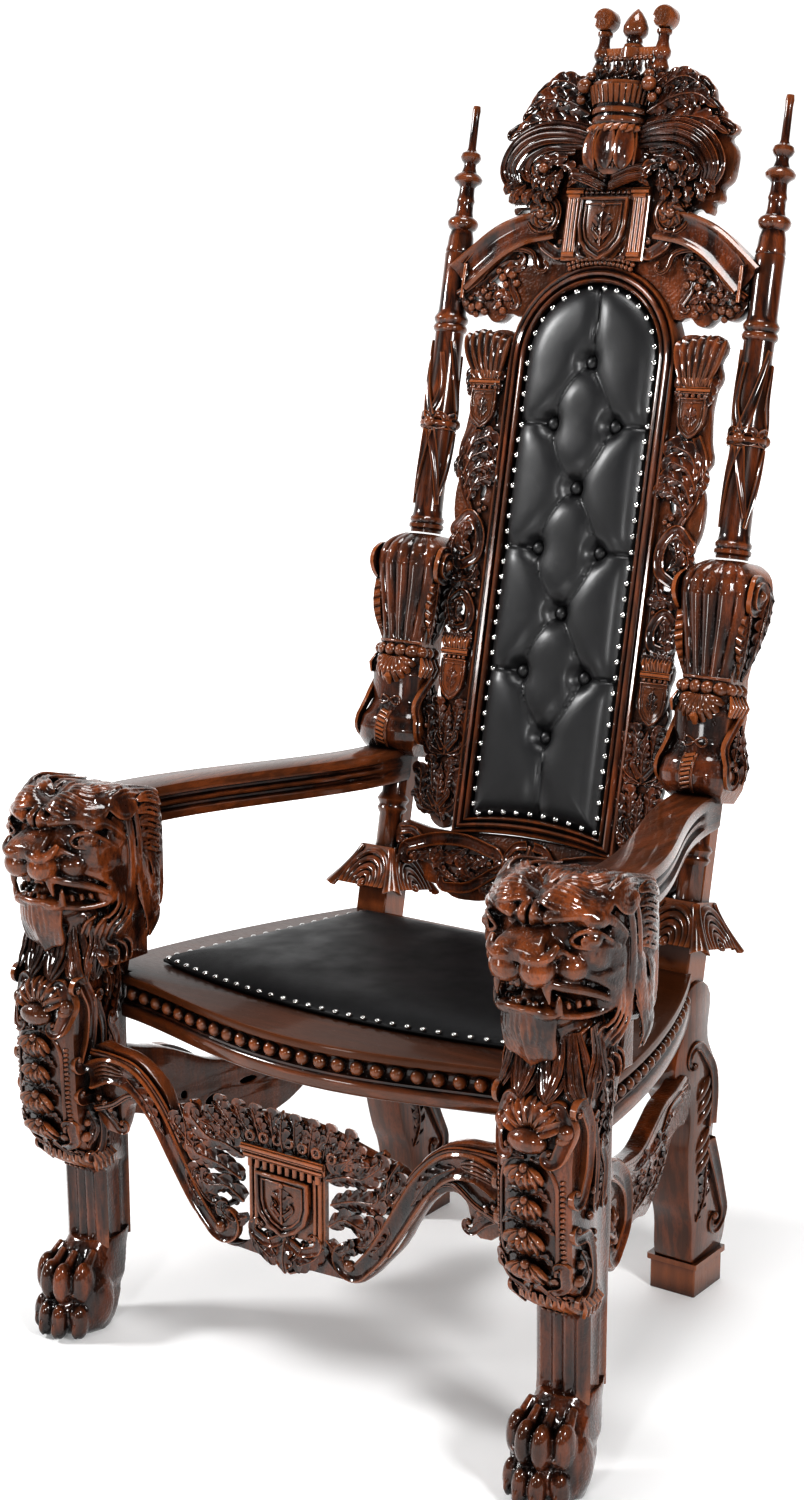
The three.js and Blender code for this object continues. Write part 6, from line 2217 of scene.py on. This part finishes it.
def stretcher_strokes():
    strokes = []
    arm_line = [(330, 386), (292, 400), (250, 392), (212, 356), (176, 300), (146, 254), (118, 222)]
    line = wound(smooth_line(arm_line, 6), 22, -5.4, 20)
    strokes += ribbon_stroke("band", line, 19, 7, 4)
    top_edge = [(326, 418), (288, 418), (246, 410), (206, 376), (172, 326)]
    strokes += ribbon_stroke("rib", smooth_line(top_edge, 6), 5, 4, 8)
    low_edge = [(322, 340), (290, 352), (256, 372), (226, 356), (196, 312), (160, 254)]
    strokes += ribbon_stroke("rib", smooth_line(low_edge, 6), 4, 4, 8)
    strokes += leaf([(262, 394), (228, 372), (198, 330)], 13, 8, 6)
    strokes += bundle([(322, 392), (296, 402), (268, 398)], 24, 5, "ridge", 8, 6, (0.8, 0.2))
    strokes += scroll([(320, 344), (300, 332), (286, 318)], 7, 10, -4.8, 2)
    strokes += leaf([(318, 350), (300, 344), (284, 326)], 10, 2, 5)
    for x, z in ((316, 356), (306, 350), (296, 344)):
        strokes += bead(x, z, 5, 6)
    strokes += bead(104, 226, 8, 10)
    # acanthus between the arm and the panel
    for points, width, curl in (
        ([(66, 330), (96, 342), (124, 346), (150, 366)], 16, (9, 3.2)),
        ([(72, 298), (106, 312), (140, 318)], 16, (11, 3.6)),
        ([(128, 300), (150, 324), (178, 350)], 14, (8, 3.2)),
        ([(68, 268), (94, 284), (122, 280)], 15, (11, 3.8)),
        ([(100, 252), (128, 258), (150, 284)], 13, (9, 3.4)),
        ([(64, 248), (84, 238), (100, 246)], 11, (8, 3.0)),
        ([(114, 388), (106, 368), (84, 356)], 13, (7, 3.0)),
        ([(156, 388), (142, 368), (120, 362)], 13, (7, 3.0)),
        ([(176, 378), (164, 356), (160, 330)], 11, (7, -3.0)),
        ([(164, 300), (160, 276), (144, 256)], 10, (7, -3.0)),
    ):
        strokes += leaf(points, width, 3, 8, curl)
    # crown of leaves over the cornice, with an eye between each two
    for x, lean in ((16, 3), (38, 9), (60, 14), (84, 20)):
        strokes += leaf([(x, 350), (x + lean * 0.4, 372), (x + lean, 394)], 12, 4, 7, (6, -2.4))
        small = [(x + 6, 352), (x + 12 + lean * 0.4, 366), (x + 16 + lean, 380)]
        strokes += leaf(small, 9, 6, 6, (5, -2.6))
        ring = circle(x - 7, 368 - lean * 0.3, 6, 6, 13)
        strokes += ribbon_stroke("round", ring, 2.6, 2.6, 10)
    # curls and small leaves under the panel
    strokes += double_scroll([(8, 232), (26, 224), (46, 230)], 7, (8, -4.4), (11, 4.8), 6)
    strokes += leaf([(60, 236), (46, 218), (26, 206)], 12, 4, 6, (7, -2.6))
    strokes += leaf([(30, 236), (20, 216), (6, 204)], 10, 5, 6, (6, -2.6))
    for x in (47, 55):
        strokes += ribbon_stroke("round", [(x, 244), (x, 326)], 3.4, 3.4, 6)
    for x in (38, 43):
        strokes += bead(x, 246, 4, 6)
    strokes = both(strokes)
    strokes += leaf([(0, 352), (0, 376), (0, 408)], 14, 6, 9)
    strokes += leaf([(0, 238), (0, 212), (0, 188)], 14, 6, 8)
    strokes += shield(0, 318, 40, 76, 14)
    # cornice with small flutes
    for x in np.arange(-54, 55, 12.0):
        strokes += ribbon_stroke("round", [(x, 323), (x, 334)], 4, 4, 9)
    strokes += ribbon_stroke("rib", [(-66, 348), (66, 348)], 5, 5, 13)
    strokes += ribbon_stroke("rib", [(-63, 338), (63, 338)], 4, 4, 11)
    return strokes


stretcher = [stretcher_board(), slab(0, 238, 334, 61, -4, 5), slab(0, 335, 352, 66, -4, 12),
             shield_board(0, 318, 40, 76, 3, 13), carve(stretcher_strokes())]
stretcher = [moved(body, on_stretcher) for body in stretcher]
finished("front_stretcher_carved", stretcher, carved_wood, ["front_stretcher"])

# %% [markdown]
# The side stretchers slant from the front legs to the rear legs, so they are drawn along
# their own length and then turned into place. The outer face carries one big C-scroll.

# %% Side stretchers
SIDE_START = (368.0, -246.0)
SIDE_END = (272.0, 200.0)
SIDE_TURN = math.atan2(SIDE_END[1] - SIDE_START[1], SIDE_END[0] - SIDE_START[0])


def along_side(points):
    """Drawn flat as distance from the front leg, height and relief towards the outside."""
    along, z, relief = points.T
    c, s = math.cos(SIDE_TURN), math.sin(SIDE_TURN)
    return upright(np.stack([SIDE_START[0] + along * c + relief * s,
                             SIDE_START[1] + along * s - relief * c, z], 1))


def side_board():
    outline = [(4, 380), (40, 378), (70, 370), (110, 352), (150, 334), (190, 326), (230, 323), (280, 336),
               (330, 351), (380, 352), (437, 352), (437, 300), (380, 299), (350, 286), (330, 266),
               (300, 246), (276, 236), (250, 230), (220, 238), (190, 240), (170, 226), (150, 213),
               (130, 206), (112, 208), (94, 222), (76, 246), (58, 270), (30, 288), (4, 300)]
    holes = [oval(150, 276, 15, 9, 0.3), oval(216, 290, 18, 7), oval(292, 284, 9, 6), oval(100, 296, 8, 8)]
    return plate(outline, holes, -13, 13, 3, 3)


def side_strokes():
    big_scroll = [(20, 350), (80, 356), (140, 316), (150, 262), (118, 232)]
    strokes = double_scroll(big_scroll, 15, (17, 4.6), (20, -4.9), 11)
    for points, width, curl in (
        ([(170, 318), (204, 306), (236, 308)], 14, (9, 3.0)),
        ([(232, 314), (264, 304), (294, 310)], 13, (9, 3.0)),
        ([(290, 326), (316, 318), (340, 326)], 11, (8, 2.8)),
        ([(158, 244), (190, 258), (214, 280)], 14, (9, -3.2)),
        ([(196, 250), (232, 256), (262, 272)], 14, (9, 3.2)),
        ([(244, 250), (282, 256), (316, 278)], 13, (9, 3.2)),
        ([(40, 314), (58, 292), (84, 280)], 13, (9, 3.0)),
        ([(60, 272), (78, 256), (100, 248)], 11, (8, 3.0)),
        ([(28, 336), (52, 326), (78, 322)], 11, (8, -3.0)),
        ([(180, 290), (206, 286), (230, 286)], 10, (7, 2.8)),
    ):
        strokes += leaf(points, width, 9, 7, curl)
    for x, z, radius in ((222, 300, 6), (286, 296, 5), (186, 272, 5), (96, 300, 5), (330, 300, 5)):
        strokes += bead(x, z, radius, 11)
    strokes += scroll([(400, 340), (350, 338), (318, 318)], 8, 14, 4.8, 11)
    strokes += sprays((112, 268), [(84, 262), (82, 278), (92, 292), (108, 296)], 7, 11, 6)
    top_edge = smooth_line([(6, 376), (70, 366), (150, 330), (230, 319), (330, 346), (430, 346)], 6)
    strokes += ribbon_stroke("rib", top_edge, 5, 4, 11)
    return strokes


side_bodies = [side_board(), carve(side_strokes())]
side_bodies = [moved(body, along_side) for body in side_bodies]
twins("side_stretcher_carved", side_bodies, carved_wood, "side_stretcher")

# %% [markdown]
# The gouges were tools, so they go before the end.

# %% Finish
for tool in GOUGES.values():
    bpy.data.objects.remove(tool)
